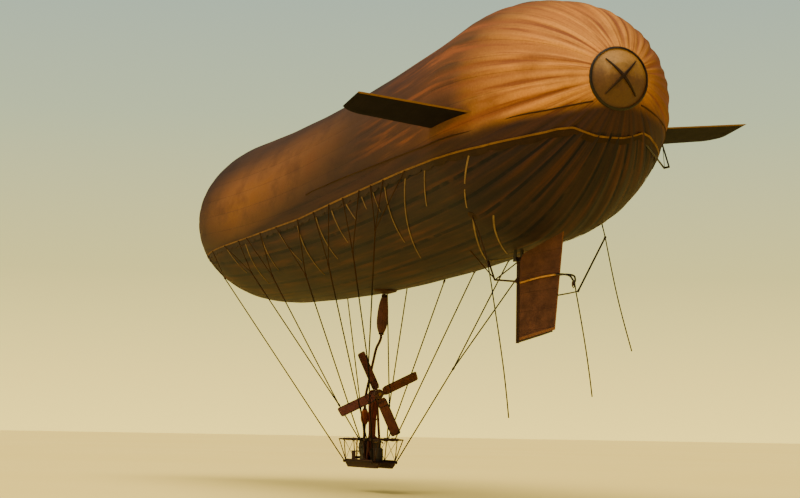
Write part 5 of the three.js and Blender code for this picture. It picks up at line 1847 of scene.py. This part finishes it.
# %% Finish the new pieces
blades, blade_irons, blade_spars = zip(*paddles)
for pieces, body, slot, finish in (
    ((fin_port, fin_starboard), "airframe", "fin_cloth", FIN_CLOTH),
    ((rudder_cloth,), "rudder", "rudder_cloth", RUDDER_CLOTH),
    ((rudder_spar,), "rudder", "ash_wood", DARK_SPAR),
    ((rudder_boards, rudder_block), "rudder", "ash_wood", ASH),
    ((horn,), "rudder", "dark_iron", IRON),
    ((fin_bracket, valve_bolts, nails, bearer_bolts, blower_iron, case_iron, bearing_ring,
      toggle_straps_port, toggle_straps_starboard), "airframe", "dark_iron", IRON),
    ((valve_arms,), "airframe", "ash_wood", DARK_SPAR),
    ((sleeve,), "airframe", "sleeve_canvas", SLEEVE_CANVAS),
    ((bag,), "airframe", "sleeve_canvas", BAG_CANVAS),
    ((sleeve_lashings, toggle_lashings_port, toggle_lashings_starboard, *rope_fans),
     "airframe", "hemp_rope", HEMP),
    ((toggles_port, toggles_starboard), "airframe", "ash_wood", ASH),
    ((air_hose,), "airframe", "sleeve_canvas", HOSE_CANVAS),
    ((bearing_cap,), "airframe", "brass_fittings", BRASS),
    ((floor_boards,), "airframe", "ash_wood", DARK_BOARDS),
    ((bench,), "airframe", "ash_wood", ASH),
    ((engine,), "airframe", "cast_engine", ENGINE_IRON),
    ((engine_pipes, tank_bands, tank_pipe), "airframe", "brass_fittings", BRASS),
    ((tank_cap,), "airframe", "red_enamel", ENAMEL),
    ((hub_nut,), "propeller", "brass_fittings", BRASS),
    ((hub_bolts,), "propeller", "dark_iron", IRON),
    (blades, "propeller", "blade_paint", BLADE_PAINT),
    (blade_irons, "propeller", "dark_iron", IRON),
    (blade_spars, "propeller", "blade_paint", BLADE_PAINT),
):
    for piece in pieces:
        fit(piece, body, finish)
rudder_stay.data.materials.clear()
rudder_stay.data.materials.append(HEMP)
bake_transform(rudder_stay)

# %% [markdown]
# ## Studio
# A plain pale floor lies below the skids and runs out of view. The key is a broad sun from above and behind
# the stern, which is the brightest part in the picture. One large soft fill from the port side and a weak
# sky keep the belly dark but readable. The camera sees a background of its own, pale below and grey above.

# %% Floor
FLOOR_Z = -6.6
deselect()
bpy.ops.mesh.primitive_plane_add(size=1200, location=(0, 0, FLOOR_Z))
floor = settled("studio_floor")
floor_finish, floor_tree = new_finish("pale_floor", Roughness=0.95, Specular_IOR_Level=0.1)
floor_mottle = noise(floor_tree, object_place(floor_tree), 0.05, 2)
floor_colour = ramp(floor_tree, floor_mottle, [(0.3, "#efdc82"), (0.7, "#f2e08a")])
floor.data.materials.append(coloured(floor_finish, floor_colour))

# %% Sky
SKY_STRENGTH, BACKDROP_STRENGTH = 0.3, 2.4
BACKDROP = [(0.0, "#ecd06c"), (0.35, "#b3a968"), (0.7, "#919979"), (1.0, "#7e8d80")]
world = bpy.data.worlds.new("soft_studio")
bpy.context.scene.world = world
world.use_nodes = True
sky_tree = world.node_tree
soft_light = sky_tree.nodes["Background"]
soft_light.inputs["Color"].default_value = srgb("#c9cfc2")
soft_light.inputs["Strength"].default_value = SKY_STRENGTH
up_share = parts_of(sky_tree, add_node(sky_tree, "TexCoord").outputs["Generated"])[2]
up_share = add_node(sky_tree, "MapRange", {0: up_share, 1: 0.0, 2: 0.25}).outputs[0]
backdrop = add_node(sky_tree, "Background", {0: ramp(sky_tree, up_share, BACKDROP), 1: BACKDROP_STRENGTH})
seen = add_node(sky_tree, "LightPath").outputs["Is Camera Ray"]
both = add_node(sky_tree, "MixShader", {0: seen, 1: soft_light.outputs[0], 2: backdrop.outputs[0]})
sky_tree.links.new(both.outputs[0], sky_tree.nodes["World Output"].inputs[0])
print("sky:", len(sky_tree.nodes), "nodes")

# %% Lights
def lamp(name, kind, code, strength, way, place=(0, 0, 0), **settings):
    """A light that shines one way. A sun's strength is in watts per square metre, another's in watts."""
    light = bpy.data.lights.new(name, kind)
    light.energy = strength
    light.color = srgb(code)[:3]
    for setting, value in settings.items():
        setattr(light, setting, value)
    made = bpy.data.objects.new(name, light)
    made.location = place
    made.rotation_euler = Vector(way).to_track_quat("-Z", "Y").to_euler()
    bpy.context.scene.collection.objects.link(made)
    print(name, kind.lower(), strength)


KEY_WAY, KEY_STRENGTH, KEY_ANGLE = (10, -10, -36), 5.4, math.radians(75)
FILL_PLACE, FILL_WATTS, FILL_SIZE = Vector((-20, 40, 10)), 3000, 24
lamp("key", "SUN", "#ffe9c0", KEY_STRENGTH, KEY_WAY, angle=KEY_ANGLE)
lamp("fill", "AREA", "#fff1dc", FILL_WATTS, -FILL_PLACE, FILL_PLACE, shape="DISK", size=FILL_SIZE)
